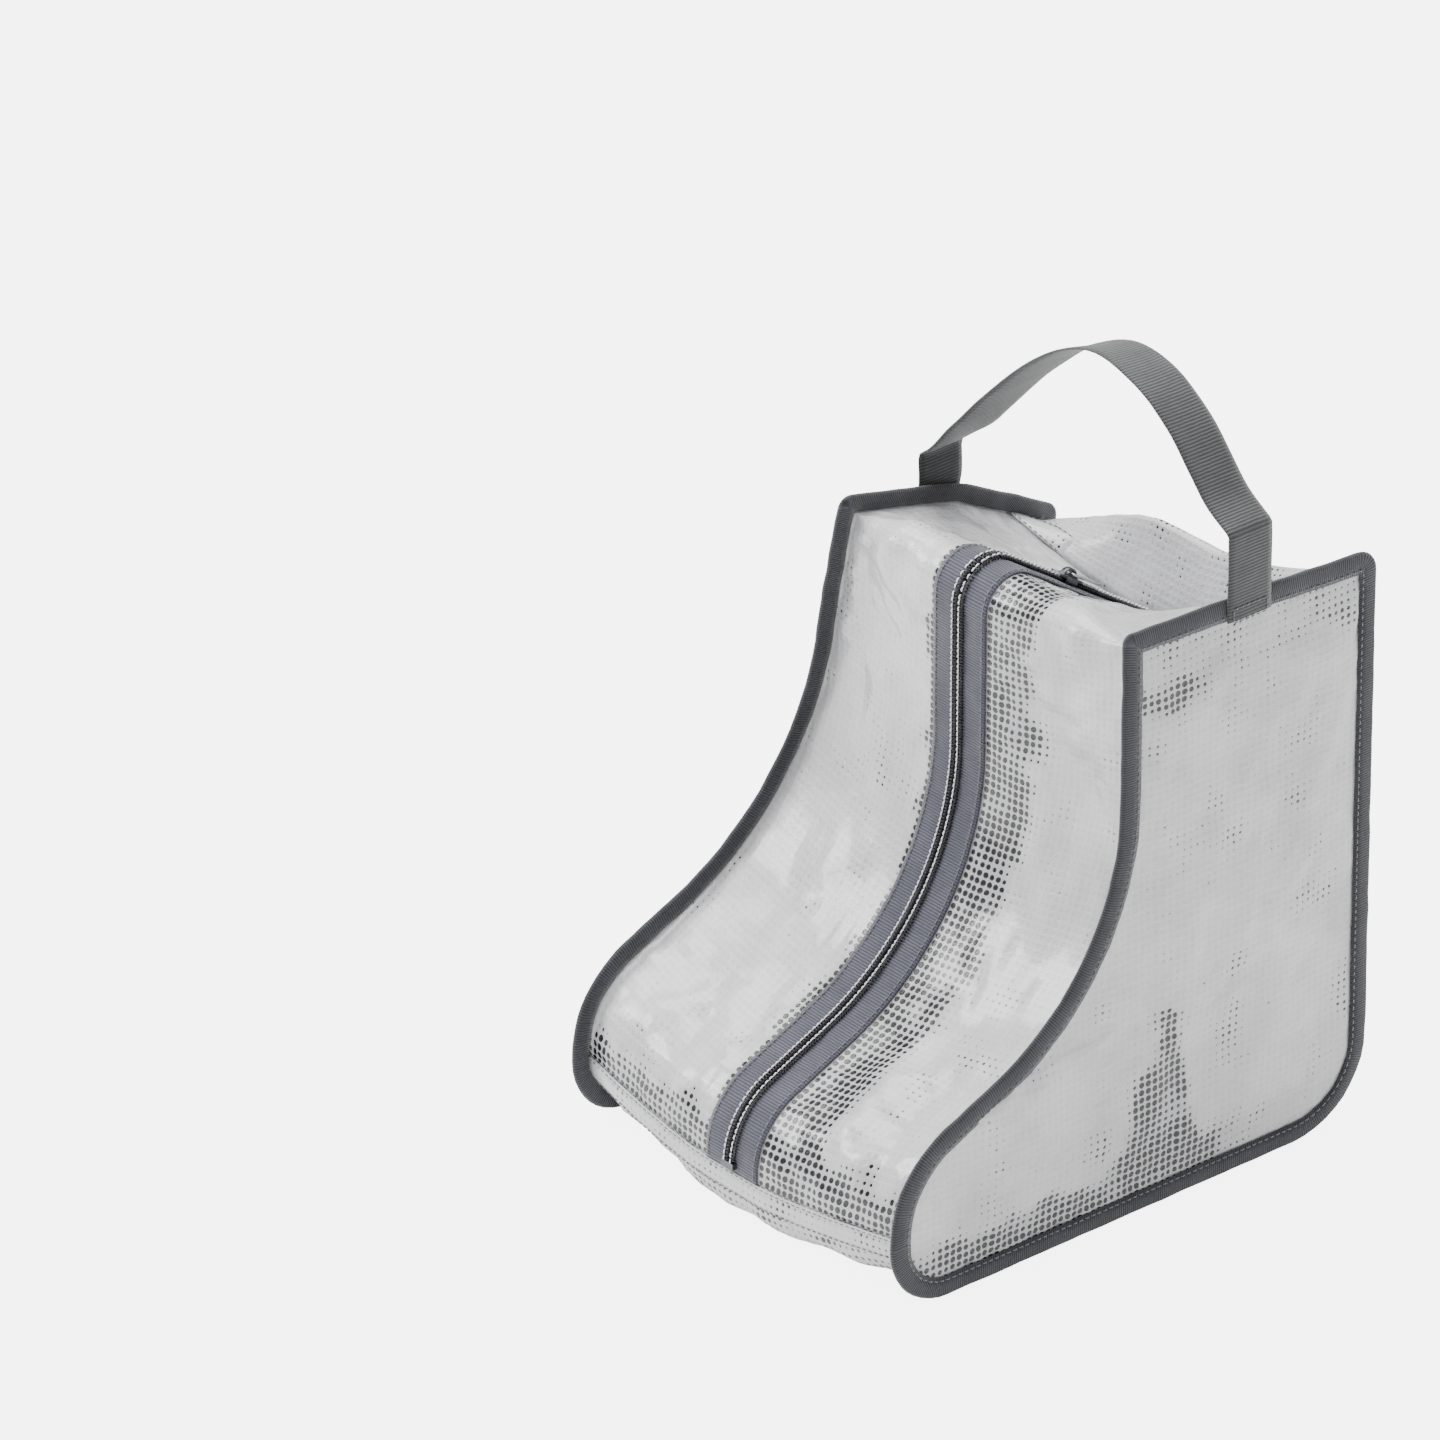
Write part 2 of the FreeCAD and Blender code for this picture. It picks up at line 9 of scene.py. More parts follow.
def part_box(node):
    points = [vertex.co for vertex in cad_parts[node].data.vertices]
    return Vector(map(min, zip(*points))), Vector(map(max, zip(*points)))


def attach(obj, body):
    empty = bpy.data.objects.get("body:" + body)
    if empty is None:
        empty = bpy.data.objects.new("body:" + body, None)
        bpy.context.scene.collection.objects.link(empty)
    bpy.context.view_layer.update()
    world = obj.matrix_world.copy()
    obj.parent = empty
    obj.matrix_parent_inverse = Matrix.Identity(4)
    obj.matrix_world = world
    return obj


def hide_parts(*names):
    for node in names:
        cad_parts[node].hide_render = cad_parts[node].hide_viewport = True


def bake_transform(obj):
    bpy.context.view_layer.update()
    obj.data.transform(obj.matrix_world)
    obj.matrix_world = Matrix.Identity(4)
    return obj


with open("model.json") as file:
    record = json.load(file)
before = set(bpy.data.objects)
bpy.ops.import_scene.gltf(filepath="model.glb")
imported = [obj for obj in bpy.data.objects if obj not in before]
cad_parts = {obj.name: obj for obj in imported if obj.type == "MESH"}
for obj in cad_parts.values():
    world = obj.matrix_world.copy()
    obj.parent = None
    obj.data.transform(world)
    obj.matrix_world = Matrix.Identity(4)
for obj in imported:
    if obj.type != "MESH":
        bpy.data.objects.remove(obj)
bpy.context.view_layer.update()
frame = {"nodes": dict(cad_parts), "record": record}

random.seed(11)

# A boot-shaped zip bag for footwear, sewn from clear grid film. The sizes below are millimetres: y runs from
# the toe to the back, z from the floor up, x from the middle to the right.
MM = 0.001
binding_low, binding_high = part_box("edge_binding_right")
HALF_WIDTH = binding_high[0] / MM
TOE_Y = binding_low[1] / MM
RIM = 2.8                # folded tape, seam allowance and side panel together
CLOTH = 0.5
SEAM_DEPTH = 10.6        # from the binding's outer edge to the gusset
TAPE_GAP = 2.0
TAPE_WIDTH = 17.5
WINDOW_PITCH = 4.0       # of the woven grid
PANEL_OUT = 1.7          # side panel, out from the rim's inner face
STRIP_HALF_WIDTH = 20.0  # of the strip along the zipper that is straight across
FABRIC_EDGE = 10.5       # from the middle to a front half's edge, under the tape
GUSSET_COLUMNS = 20      # from a side panel to the middle
HEM_POINTS = 6           # across a folded hem
TAPE_STITCH_X = 16.4
COIL_X = 2.0
COIL_PITCH = 1.7
BOX_HALF_WIDTH = 10.5    # of the box of stitches through the strap's end
PULL_HEIGHT = 6.7        # of the pull's bar, over the gusset's inner face


def at(x, y, z):
    """A point in the frame's metres."""
    return Vector((x * MM, (y + TOE_Y) * MM, z * MM))


BAG_MIDDLE = at(0, 170, 130)


# ---- outlines: corners are (y, z, radius), from the toe seam over the top and back along the floor ----
RIGHT_OUTLINE = [
    (0.0, 37.0, 0.0), (0.0, 75.0, 55.0), (141.0, 138.0, 130.0), (141.0, 315.0, 5.0), (220.0, 312.2, 90.0),
    (270.0, 309.3, 0.0), (300.0, 308.0, 11.0), (300.0, 0.0, 46.0), (0.0, 0.0, 35.0),
]
LEFT_OUTLINE = [
    (0.0, 37.0, 0.0), (0.0, 75.0, 55.0), (141.0, 138.0, 130.0), (141.0, 309.5, 6.0), (220.0, 287.5, 70.0),
    (262.0, 264.0, 0.0), (290.0, 247.5, 11.0), (300.0, 0.0, 46.0), (0.0, 0.0, 35.0),
]
MIDDLE = [
    (2.1, 28.0, 0.0), (2.1, 57.2, 37.9), (143.1, 120.2, 140.6), (143.1, 315.0, 16.0), (214.0, 266.75, 50.0),
    (268.0, 230.0, 0.0), (288.0, 283.0, 2.5), (289.4, 0.9, 35.4), (2.1, 0.9, 16.0),
]
TURN_STEPS = [0, 12, 18, 7, 6, 0, 6, 10, 10]
RUN_STEPS = [4, 16, 26, 16, 14, 7, 30, 34, 3]
TOP_SEAM = 5


def inset(corners, distance, least=0.4):
    """Corners of a closed outline moved inwards, with their curves kept parallel."""
    moved = []
    for n, (y, z, radius) in enumerate(corners):
        into = (Vector((y, z)) - Vector(corners[n - 1][:2])).normalized()
        out = (Vector(corners[(n + 1) % len(corners)][:2]) - Vector((y, z))).normalized()
        n1 = Vector((into.y, -into.x))
        n2 = Vector((out.y, -out.x))
        spot = Vector((y, z)) + (n1 + n2) * distance / (1 + n1.dot(n2))
        turn = into.x * out.y - into.y * out.x
        if radius > 0:
            radius = max(radius + (distance if turn > 0 else -distance), least)
        moved.append((spot.x, spot.y, radius))
    return moved


def corner_arc(corners, n):
    """Points round one corner of a closed outline."""
    y, z, radius = corners[n]
    here = Vector((y, z))
    if radius == 0:
        return [here]
    back = (Vector(corners[n - 1][:2]) - here).normalized()
    on = (Vector(corners[(n + 1) % len(corners)][:2]) - here).normalized()
    half = math.acos(max(-1.0, min(1.0, back.dot(on)))) / 2
    if half > 1.5:
        reach = radius * 0.2
        return [here + back * reach * (1 - 2 * k / TURN_STEPS[n]) for k in range(TURN_STEPS[n] + 1)]
    reach = radius / math.tan(half)
    start, end = here + back * reach, here + on * reach
    centre = here + (back + on).normalized() * radius / math.sin(half)
    first = math.atan2(start.y - centre.y, start.x - centre.x)
    sweep = math.atan2(end.y - centre.y, end.x - centre.x) - first
    sweep = (sweep + math.pi) % (2 * math.pi) - math.pi
    steps = TURN_STEPS[n]
    angles = [first + sweep * k / steps for k in range(steps + 1)]
    return [centre + Vector((math.cos(a), math.sin(a))) * radius for a in angles]


def stations(corners):
    """Points round a closed outline, the same number for every outline, and the station of each corner."""
    points = []
    marks = []
    arcs = [corner_arc(corners, n) for n in range(len(corners))]
    for n, arc in enumerate(arcs):
        marks.append(len(points) + len(arc) // 2)
        points += arc
        goal = arcs[(n + 1) % len(arcs)][0]
        steps = RUN_STEPS[n]
        points += [arc[-1].lerp(goal, k / steps) for k in range(1, steps)]
    return points, marks


def lean(z):
    """How far the left side leans in at a height: it stands straight at first and then curves over."""
    return 31.0 * (max(z - 100.0, 0.0) / 208.0) ** 1.6


def on_side(side, out, y, z):
    """A point of a side panel, out from the rim's inner face."""
    x = HALF_WIDTH - RIM + out
    if side < 0:
        return at(-x + lean(z), y, z - 0.06 * lean(z))
    return at(x, y, z)


def outline(side):
    return RIGHT_OUTLINE if side > 0 else LEFT_OUTLINE


def word_of(side):
    return "right" if side > 0 else "left"


RIM_LINES = {side: stations(inset(outline(side), 1.2))[0] for side in (-1, 1)}


# ---- meshes ----
def new_piece(name, points, faces, uvs, body="bag", marks=None):
    """A mesh piece with its cloth coordinates, and how much painted shade shows through its windows at each
    point.
    """
    mesh = bpy.data.meshes.new(name)
    mesh.from_pydata([tuple(p) for p in points], [], faces)
    layer = mesh.uv_layers.new(name="cloth")
    for loop in mesh.loops:
        layer.data[loop.index].uv = uvs[loop.vertex_index]
    # painted shade: each point's share of the dark seen through the film's windows
    if marks is not None:
        attribute = mesh.attributes.new("see_through_shade", "FLOAT", "POINT")
        attribute.data.foreach_set("value", marks)
    for polygon in mesh.polygons:
        polygon.use_smooth = True
    mesh.validate()
    obj = bpy.data.objects.new(name, mesh)
    bpy.context.scene.collection.objects.link(obj)
    if body:
        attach(obj, body)
    return obj


def grid_faces(rows, columns, closed_rows=False, closed_columns=False):
    faces = []
    for r in range(rows if closed_rows else rows - 1):
        for c in range(columns if closed_columns else columns - 1):
            a = r * columns + c
            b = r * columns + (c + 1) % columns
            d = (r + 1) % rows * columns
            faces.append((a, b, d + (c + 1) % columns, d + c))
    return faces


def end_caps(count, columns):
    """The faces that close the first and last row of a swept piece."""
    return [tuple(range(columns)), tuple(range(count - columns, count))[::-1]]


def lengths(points):
    """Distance along a row of points, from its start."""
    total = [0.0]
    for a, b in zip(points, points[1:]):
        total.append(total[-1] + (b - a).length)
    return total


def spot_at(points, run, goal):
    """The spot at a distance along a row of points, and the place in the row of the point before it."""
    n = 0
    while n < len(points) - 2 and run[n + 1] < goal:
        n += 1
    return points[n].lerp(points[n + 1], (goal - run[n]) / (run[n + 1] - run[n])), n


def soft_ramp(value, low, high):
    t = max(0.0, min(1.0, (value - low) / (high - low)))
    return t * t * (3 - 2 * t)


def rumple(spot, seam_distance, strength=1.0):
    """How far the film stands off its smooth shape: slow waves, creases, and puckers along a seam."""
    p = spot / MM
    loose = soft_ramp(seam_distance, 0.0, 38.0)
    waves = noise.noise(p / 52.0) * 4.6 + noise.noise(p / 24.0 + Vector((7, 3, 1))) * 2.8
    crease = abs(noise.noise(p / 17.0 + Vector((2, 9, 5))))
    waves += (0.24 - crease) * 3.4 * soft_ramp(seam_distance, 4.0, 26.0)
    pucker = noise.noise(Vector((p.x / 9.0, p.y / 7.0, p.z / 7.0))) * 1.9
    near = soft_ramp(seam_distance, 0.0, 6.0) * (1 - soft_ramp(seam_distance, 10.0, 34.0))
    return (waves * loose + pucker * near) * strength * MM


def grid_normals(points, rows, columns):
    normals = []
    for r in range(rows):
        for c in range(columns):
            along = points[min(r + 1, rows - 1) * columns + c] - points[max(r - 1, 0) * columns + c]
            across = points[r * columns + min(c + 1, columns - 1)] - points[r * columns + max(c - 1, 0)]
            normals.append(across.cross(along).normalized())
    return normals


# ---- the gusset: front halves, back and bottom ----
def across_shape(t):
    """How much of the middle's shape is reached, from a side panel (0) to the strip along the zipper (1)."""
    return 1 - (1 - t) ** 1.35


def loops():
    """The gusset's seam lines on the two side panels, and its middle."""
    left = stations(inset(LEFT_OUTLINE, SEAM_DEPTH))[0]
    right = stations(inset(RIGHT_OUTLINE, SEAM_DEPTH))[0]
    middle, marks = stations(MIDDLE)
    return left, right, middle, marks


def gusset_point(side, edge, middle, x_share):
    """A point of the gusset. x_share runs from the side panel (0) to the strip along the zipper (1)."""
    start = on_side(side, 0.9, edge.x, edge.y)
    end = at(side * STRIP_HALF_WIDTH, middle.x, middle.y)
    shape = across_shape(x_share)
    return Vector((
        start.x + (end.x - start.x) * x_share,
        start.y + (end.y - start.y) * shape,
        start.z + (end.z - start.z) * shape,
    ))


def front_see_through_shade(side, station_share, from_tape, z):
    """Where painted shade shows through the front's windows: beside the zipper and low on the toe."""
    ragged = 9.0 * noise.noise(Vector((from_tape / 12.0, z / 14.0, side)))
    reach = 36.0 if side > 0 else 5.0
    fade = 1 - soft_ramp(station_share, 0.80, 0.9)
    beside = (1 - soft_ramp(from_tape + ragged, reach * 0.75, reach * 1.1)) * fade
    toe = (1 - soft_ramp(z + ragged, 50.0 if side > 0 else 44.0, 64.0 if side > 0 else 56.0)) * 0.95
    rest = 0.28 + 0.35 * noise.noise(Vector((from_tape / 45.0, z / 50.0, 6.0 * side)))
    return max(beside, toe, rest, 0.0)


def sew_front_panel(side, name):
    left, right, middle, marks = loops()
    edge = right if side > 0 else left
    first, last = 0, marks[TOP_SEAM]
    columns = 26
    rows = last - first + 1
    points = []
    uvs = []
    shade_values = []
    run = lengths(middle[first:last + 1])
    for n in range(rows):
        seam = [on_side(side, out, *flange) for out, flange in flange_points(side, n, edge)]
        row = list(seam)
        for c in range(1, columns - 2):
            row.append(gusset_point(side, edge[n], middle[n], c / (columns - 3)))
        row += [at(side * x, middle[n].x, middle[n].y) for x in (15.0, FABRIC_EDGE)]
        across = lengths(row[::-1])[::-1]
        points += row
        for c, spot in enumerate(row):
            from_tape = across[c] / MM - 8.0
            uvs.append((across[c], run[n] * MM))
            # painted shade seen through the windows, beside the zipper and low on the toe
            shade_values.append(front_see_through_shade(side, n / rows, from_tape, spot.z / MM))
    count = len(points) // rows
    normals = grid_normals(points, rows, count)
    for i, spot in enumerate(points):
        c = i % count
        r = i // count
        from_side = uvs[r * count + 2][0] / MM - uvs[i][0] / MM
        ends = min(run[r], run[-1] - run[r])
        margin = min(from_side, uvs[i][0] / MM - 10.0, ends)
        if c > 2 and margin > 0:
            points[i] = spot + normals[i] * rumple(spot, margin)
    obj = new_piece(name, points, grid_faces(rows, count), uvs, marks=shade_values)
    face_outwards(obj)
    return obj


def flange_points(side, n, edge):
    """The seam allowance: from the binding's edge to the seam, flat against the side panel."""
    rim_line = RIM_LINES[side][n]
    mid = rim_line.lerp(edge[n], 0.5)
    return [(1.1, rim_line), (1.1, mid), (1.0, edge[n])]


def face_outwards(obj):
    """Turns a sheet's faces away from the middle of the bag."""
    mesh = obj.data
    centre = at(0, 190, 120)
    outward = sum((p.center - centre).dot(p.normal) * p.area for p in mesh.polygons)
    if outward < 0:
        mesh.flip_normals()
    mesh.update()


def sew_back_and_bottom():
    left, right, middle, marks = loops()
    count = len(middle)
    order = list(range(marks[TOP_SEAM], count)) + [0]
    half = GUSSET_COLUMNS
    points = []
    uvs = []
    shade_values = []
    run = lengths([middle[n] for n in order])
    for k, n in enumerate(order):
        row = [on_side(-1, out, *flange) for out, flange in flange_points(-1, n, left)]
        row += [gusset_point(-1, left[n], middle[n], c / half) for c in range(1, half + 1)]
        row += [at(x, middle[n].x, middle[n].y) for x in (-12.0, -4.0, 4.0, 12.0)]
        row += [gusset_point(1, right[n], middle[n], 1 - c / half) for c in range(half)]
        row += [on_side(1, out, *flange) for out, flange in flange_points(1, n, right)][::-1]
        across = lengths(row)
        centre = across[len(row) // 2]
        for c, spot in enumerate(row):
            uvs.append((across[c] - centre, run[k] * MM))
            # painted shade seen through the windows: broad patches, low along the floor and across the toe
            # end
            broad = noise.noise(spot / MM / 60.0) + 0.3 * noise.noise(spot / MM / 17.0)
            low = 1 - soft_ramp(spot.z / MM + 12 * broad, 14.0, 46.0)
            shade_values.append(max(0.3 + 0.45 * broad, 0.7 * low, 0.95 * soft_ramp(k / len(order), 0.955, 0.975)))
        points += row
    rows = len(order)
    columns = len(points) // rows
    normals = grid_normals(points, rows, columns)
    sign = 1 if normals[rows // 2 * columns + columns // 2].z < 0 else -1
    for i, spot in enumerate(points):
        c = i % columns
        r = i // columns
        margin = min(c - 3, columns - 4 - c) * 5.0
        margin = min(margin, run[r], run[-1] - run[r])
        if margin <= 0:
            continue
        lift = rumple(spot, margin, 0.75 - 0.45 * soft_ramp(spot.z / MM, 225.0, 260.0))
        moved = spot + normals[i] * sign * lift
        if moved.z > 0.2 * MM:
            points[i] = moved
    obj = new_piece("back_and_bottom_panel_cloth", points, grid_faces(rows, columns), uvs, marks=shade_values)
    face_outwards(obj)
    return obj


# ---- side panels ----
def side_see_through_shade(side, y, z):
    """Where painted shade shows through a side panel's windows: low along the floor, in a wedge over it and
    under the top.
    """
    ragged = 9.0 * noise.noise(Vector((y / 15.0, z / 11.0, 4.0 * side)))
    broad = noise.noise(Vector((y / 38.0, z / 55.0, 9.0 * side)))
    low = (1 - soft_ramp(z + ragged, 20.0, 40.0)) * (1 - soft_ramp(y, 195.0, 240.0))
    peak = 126.0 - abs(y - 172.0) * (2.0 if y < 172 else 4.0)
    wedge = soft_ramp(peak - z + 2 * ragged, -6.0, 34.0) * (1.0 if side > 0 else 0.55)
    top = soft_ramp(z + ragged, 255.0, 272.0) * (1 - soft_ramp(z, 276.0, 290.0))
    top *= 1 - soft_ramp(y, 180, 212)
    rest = 0.30 + 0.35 * broad + 0.14 * soft_ramp(z, 230.0, 290.0)
    return max(low, wedge, top * (0.9 if side > 0 else 0.4), rest, 0.0)


def sew_side_panel(side, name):
    """A side panel: rings drawn in from its edge to the middle, bellied a little."""
    ring = stations(inset(outline(side), 1.0))[0]
    centre = Vector((205.0, 105.0))
    rings = 34
    points = []
    uvs = []
    shade_values = []
    for k in range(rings):
        share = 1 - (k / rings) ** 1.15
        for p in ring:
            q = centre.lerp(p, share)
            near = (p - q).length
            belly = 3.0 * soft_ramp(near, 12.0, 75.0)
            spot = on_side(side, PANEL_OUT + belly, q.x, q.y)
            off = rumple(spot, near - 9.0, 0.6) / MM if near > 9 else 0.0
            gather = (1 - soft_ramp(q.y, 30.0, 75.0)) * soft_ramp(near, 10.0, 16.0)
            off += 1.1 * gather * noise.noise(Vector((q.x / 4.2, q.y / 60.0, 3.0)))
            points.append(on_side(side, max(PANEL_OUT + belly + off, 1.2), q.x, q.y))
            uvs.append((q.x * MM, q.y * MM))
            # painted shade seen through the windows, low along the floor, in a wedge and under the top
            shade_values.append(side_see_through_shade(side, q.x, q.y))
    points.append(on_side(side, PANEL_OUT + 3.0, centre.x, centre.y))
    uvs.append((centre.x * MM, centre.y * MM))
    shade_values.append(0.0)
    faces = grid_faces(rings, len(ring), closed_columns=True)
    last = (rings - 1) * len(ring)
    faces += [(last + c, last + (c + 1) % len(ring), len(points) - 1) for c in range(len(ring))]
    obj = new_piece(name, points, faces, uvs, marks=shade_values)
    face_outwards(obj)
    return obj


# ---- edge binding ----
FOLDED_TAPE = [
    (11.0, 2.25), (11.1, 2.95), (6.0, 3.15), (1.6, 3.1), (0.4, 2.55), (-0.05, 1.4), (0.4, 0.25), (1.6, -0.3),
    (6.0, -0.3), (9.5, -0.1), (9.5, 0.6), (5.0, 0.7), (1.5, 0.75), (1.1, 1.4), (1.5, 2.1), (5.0, 2.2),
]


def fold_binding(side, name):
    """A tape folded round the edge of a side panel, puckered a little by its stitches."""
    corners = outline(side)
    lines = {d: stations(inset(corners, d))[0] for d in {p[0] for p in FOLDED_TAPE}}
    base = stations(inset(corners, 5.0))[0]
    run = lengths(base + base[:1])
    points = []
    uvs = []
    widths = lengths([Vector(p) for p in FOLDED_TAPE])
    for n in range(len(base)):
        v = run[n]
        for k, (d, out) in enumerate(FOLDED_TAPE):
            p = lines[d][n]
            wave = 0.45 * noise.noise(Vector((v / 11.0, d / 14.0, side * 5.0)))
            edge_wave = 0.5 * noise.noise(Vector((v / 17.0, 2.0, side * 3.0)))
            inward = (base[n] - lines[-0.05][n]).normalized()
            spot = p + inward * (edge_wave if d < 3 or d > 9 else 0.0)
            spot.y = max(spot.y, 0.1)
            points.append(on_side(side, out + wave, spot.x, spot.y))
            uvs.append((widths[k] * MM, v * MM))
    faces = grid_faces(len(base), len(FOLDED_TAPE), closed_rows=True, closed_columns=True)
    obj = new_piece(name, points, faces, uvs)
    tidy_normals(obj)
    return obj


def edit_all(operation, **settings):
    """Runs one mesh operation on the whole of the active piece."""
    bpy.ops.object.mode_set(mode="EDIT")
    bpy.ops.mesh.select_all(action="SELECT")
    operation(**settings)
    bpy.ops.object.mode_set(mode="OBJECT")


def tidy_normals(obj):
    """Makes a closed mesh's faces point outwards."""
    bpy.ops.object.select_all(action="DESELECT")
    bpy.context.view_layer.objects.active = obj
    obj.select_set(True)
    edit_all(bpy.ops.mesh.normals_make_consistent, inside=False)
    obj.select_set(False)


# ---- along the zipper ----
def zipper_path():
    middle, marks = stations(MIDDLE)
    return middle[:marks[TOP_SEAM] + 1]


def walk(path, step, start=0.0, end=0.0):
    """Evenly spaced spots along a path: the point, the way on, and the distance."""
    total = lengths(path)
    count = int((total[-1] - start - end) / step) + 1
    spots = []
    for k in range(count):
        s = start + k * step
        spot, n = spot_at(path, total, s)
        spots.append((spot, (path[n + 1] - path[n]).normalized(), s))
    return spots


def outward(way):
    """Out of the bag, for a way on along an outline."""
    return Vector((-way.y, way.x))


def ribbon(name, path, x_low, x_high, low, high, start, end, wave):
    """A woven strip along a path: from x_low to x_high and low to high off the path."""
    spots = walk(path, 2.5, start, end)
    across = 8
    points = []
    uvs = []
    for p, way, s in spots:
        out = outward(way)
        for height, order in ((high, range(across + 1)), (low, range(across, -1, -1))):
            for c in order:
                x = x_low + (x_high - x_low) * c / across
                ripple = wave * noise.noise(Vector((x / 9.0, s / 13.0, x_low)))
                q = p + out * (height + ripple)
                points.append(at(x, q.x, q.y))
                uvs.append((x * MM, s * MM))
    columns = 2 * (across + 1)
    faces = grid_faces(len(spots), columns, closed_columns=True)
    faces += [face[::-1] for face in end_caps(len(points), columns)]
    obj = new_piece(name, points, faces, uvs)
    tidy_normals(obj)
    return obj


def bead_mesh(length, width, height, sides=8):
    """One stitch, as points and faces: a rounded bead along Y that sinks at both ends."""
    rings = [(-0.5, 0.35, -0.3), (-0.3, 0.9, 0.35), (0.0, 1.0, 0.5), (0.3, 0.9, 0.35), (0.5, 0.35, -0.3)]
    points = []
    for along, size, rise in rings:
        for k in range(sides):
            a = 2 * math.pi * k / sides
            points.append(Vector((math.cos(a) * width / 2 * size, along * length,
                                  (math.sin(a) * 0.5 * size + rise) * height)))
    faces = grid_faces(len(rings), sides, closed_columns=True)
    return points, faces + end_caps(len(points), sides)


def repeat(name, unit_points, unit_faces, frames, body="bag"):
    """One mesh of many copies. A frame is (place, across, along, out)."""
    points = []
    faces = []
    for place, across, along, out in frames:
        base = len(points)
        for p in unit_points:
            points.append(place + (across * p.x + along * p.y + out * p.z) * MM)
        faces += [tuple(base + i for i in face) for face in unit_faces]
    uvs = [(p.x, p.y) for p in points]
    obj = new_piece(name, points, faces, uvs, body)
    tidy_normals(obj)
    return obj


def frames_along(path, step, x, height, start=0.0, end=0.0):
    frames = []
    for p, way, _ in walk(path, step, start, end):
        out = outward(way)
        q = p + out * height
        frames.append((at(x, q.x, q.y), Vector((1, 0, 0)), Vector((0, way.x, way.y)),
                       Vector((0, out.x, out.y))))
    return frames


def coil_turn():
    """One turn of a zipper coil, as points and faces: a filament bent from the tape's edge to the tape."""
    line = [(-1.25, -0.9), (-1.35, 0.2), (-0.75, 0.95), (0.35, 1.05), (1.2, 0.75), (1.45, 0.1),
            (1.2, -0.75)]
    sides, radius = 6, 0.42
    points = []
    for n, (x, z) in enumerate(line):
        ahead = Vector(line[min(n + 1, len(line) - 1)]) - Vector(line[max(n - 1, 0)])
        ahead.normalize()
        for k in range(sides):
            a = 2 * math.pi * k / sides
            points.append(Vector((x - ahead.y * math.cos(a) * radius, math.sin(a) * radius * 1.25,
                                  z + ahead.x * math.cos(a) * radius)))
    faces = grid_faces(len(line), sides, closed_columns=True)
    return points, faces + end_caps(len(points), sides)


def wind_coil(side, name):
    """A coil: the same turn copied along the tape, the two sides half a step apart so that they mesh."""
    points, faces = coil_turn()
    if side < 0:
        points = [Vector((-p.x, p.y, p.z)) for p in points]
        faces = [face[::-1] for face in faces]
    offset = COIL_PITCH / 2 if side > 0 else 0.0
    frames = frames_along(zipper_path(), COIL_PITCH, side * COIL_X, 2.5, 6.2 + offset, 6.2)
    return repeat(name, points, faces, frames)


# ---- handle ----
LEFT_FOOT_Z = 271.0
LEFT_FOOT_Y, RIGHT_FOOT_Y = 210.5, 217.5
LEFT_FOLD, RIGHT_FOLD = (-93.5, 306.0), (119.05, 347.0)
STRAP_WIDTH = 27.0
STRAP_THICKNESS = 1.6
ARCH = [(-84.5, 314.5), (-69.0, 330.0), (-47.0, 354.5), (-24.0, 377.5), (1.0, 397.0), (27.0, 406.5),
        (54.0, 401.0), (76.0, 386.5), (91.0, 370.0), (103.0, 357.0)]


def smooth_run(corners, steps):
    """A smooth curve through points, ends included."""
    run = []
    for n in range(len(corners) - 1):
        a = Vector(corners[max(n - 1, 0)])
        b = Vector(corners[n])
        c = Vector(corners[n + 1])
        d = Vector(corners[min(n + 2, len(corners) - 1)])
        for k in range(steps):
            t = k / steps
            run.append(0.5 * (2 * b + (c - a) * t + (2 * a - 5 * b + 4 * c - d) * t * t
                              + (3 * b - a - 3 * c + d) * t ** 3))
    run.append(Vector(corners[-1]))
    return run


def strap_line():
    """The strap's middle as (x, z): up from the left foot, a fold, the arch, a fold and down to the right."""
    left_top = LEFT_FOLD[1]
    foot_x = -HALF_WIDTH - 1.2 + lean(LEFT_FOOT_Z)
    left = smooth_run([(foot_x, 269.5), (foot_x + 1.2, 279.5), (-93.2, 291.0), (-93.5, left_top - 1.6)], 6)
    arch = smooth_run([(-92.6, 307.9)] + ARCH + [(117.4, 348.0)], 6)
    right = smooth_run([(119.0, 346.2), (119.2, 330.0), (119.05, 314.0), (119.25, 301.0)], 6)
    return left + arch + right


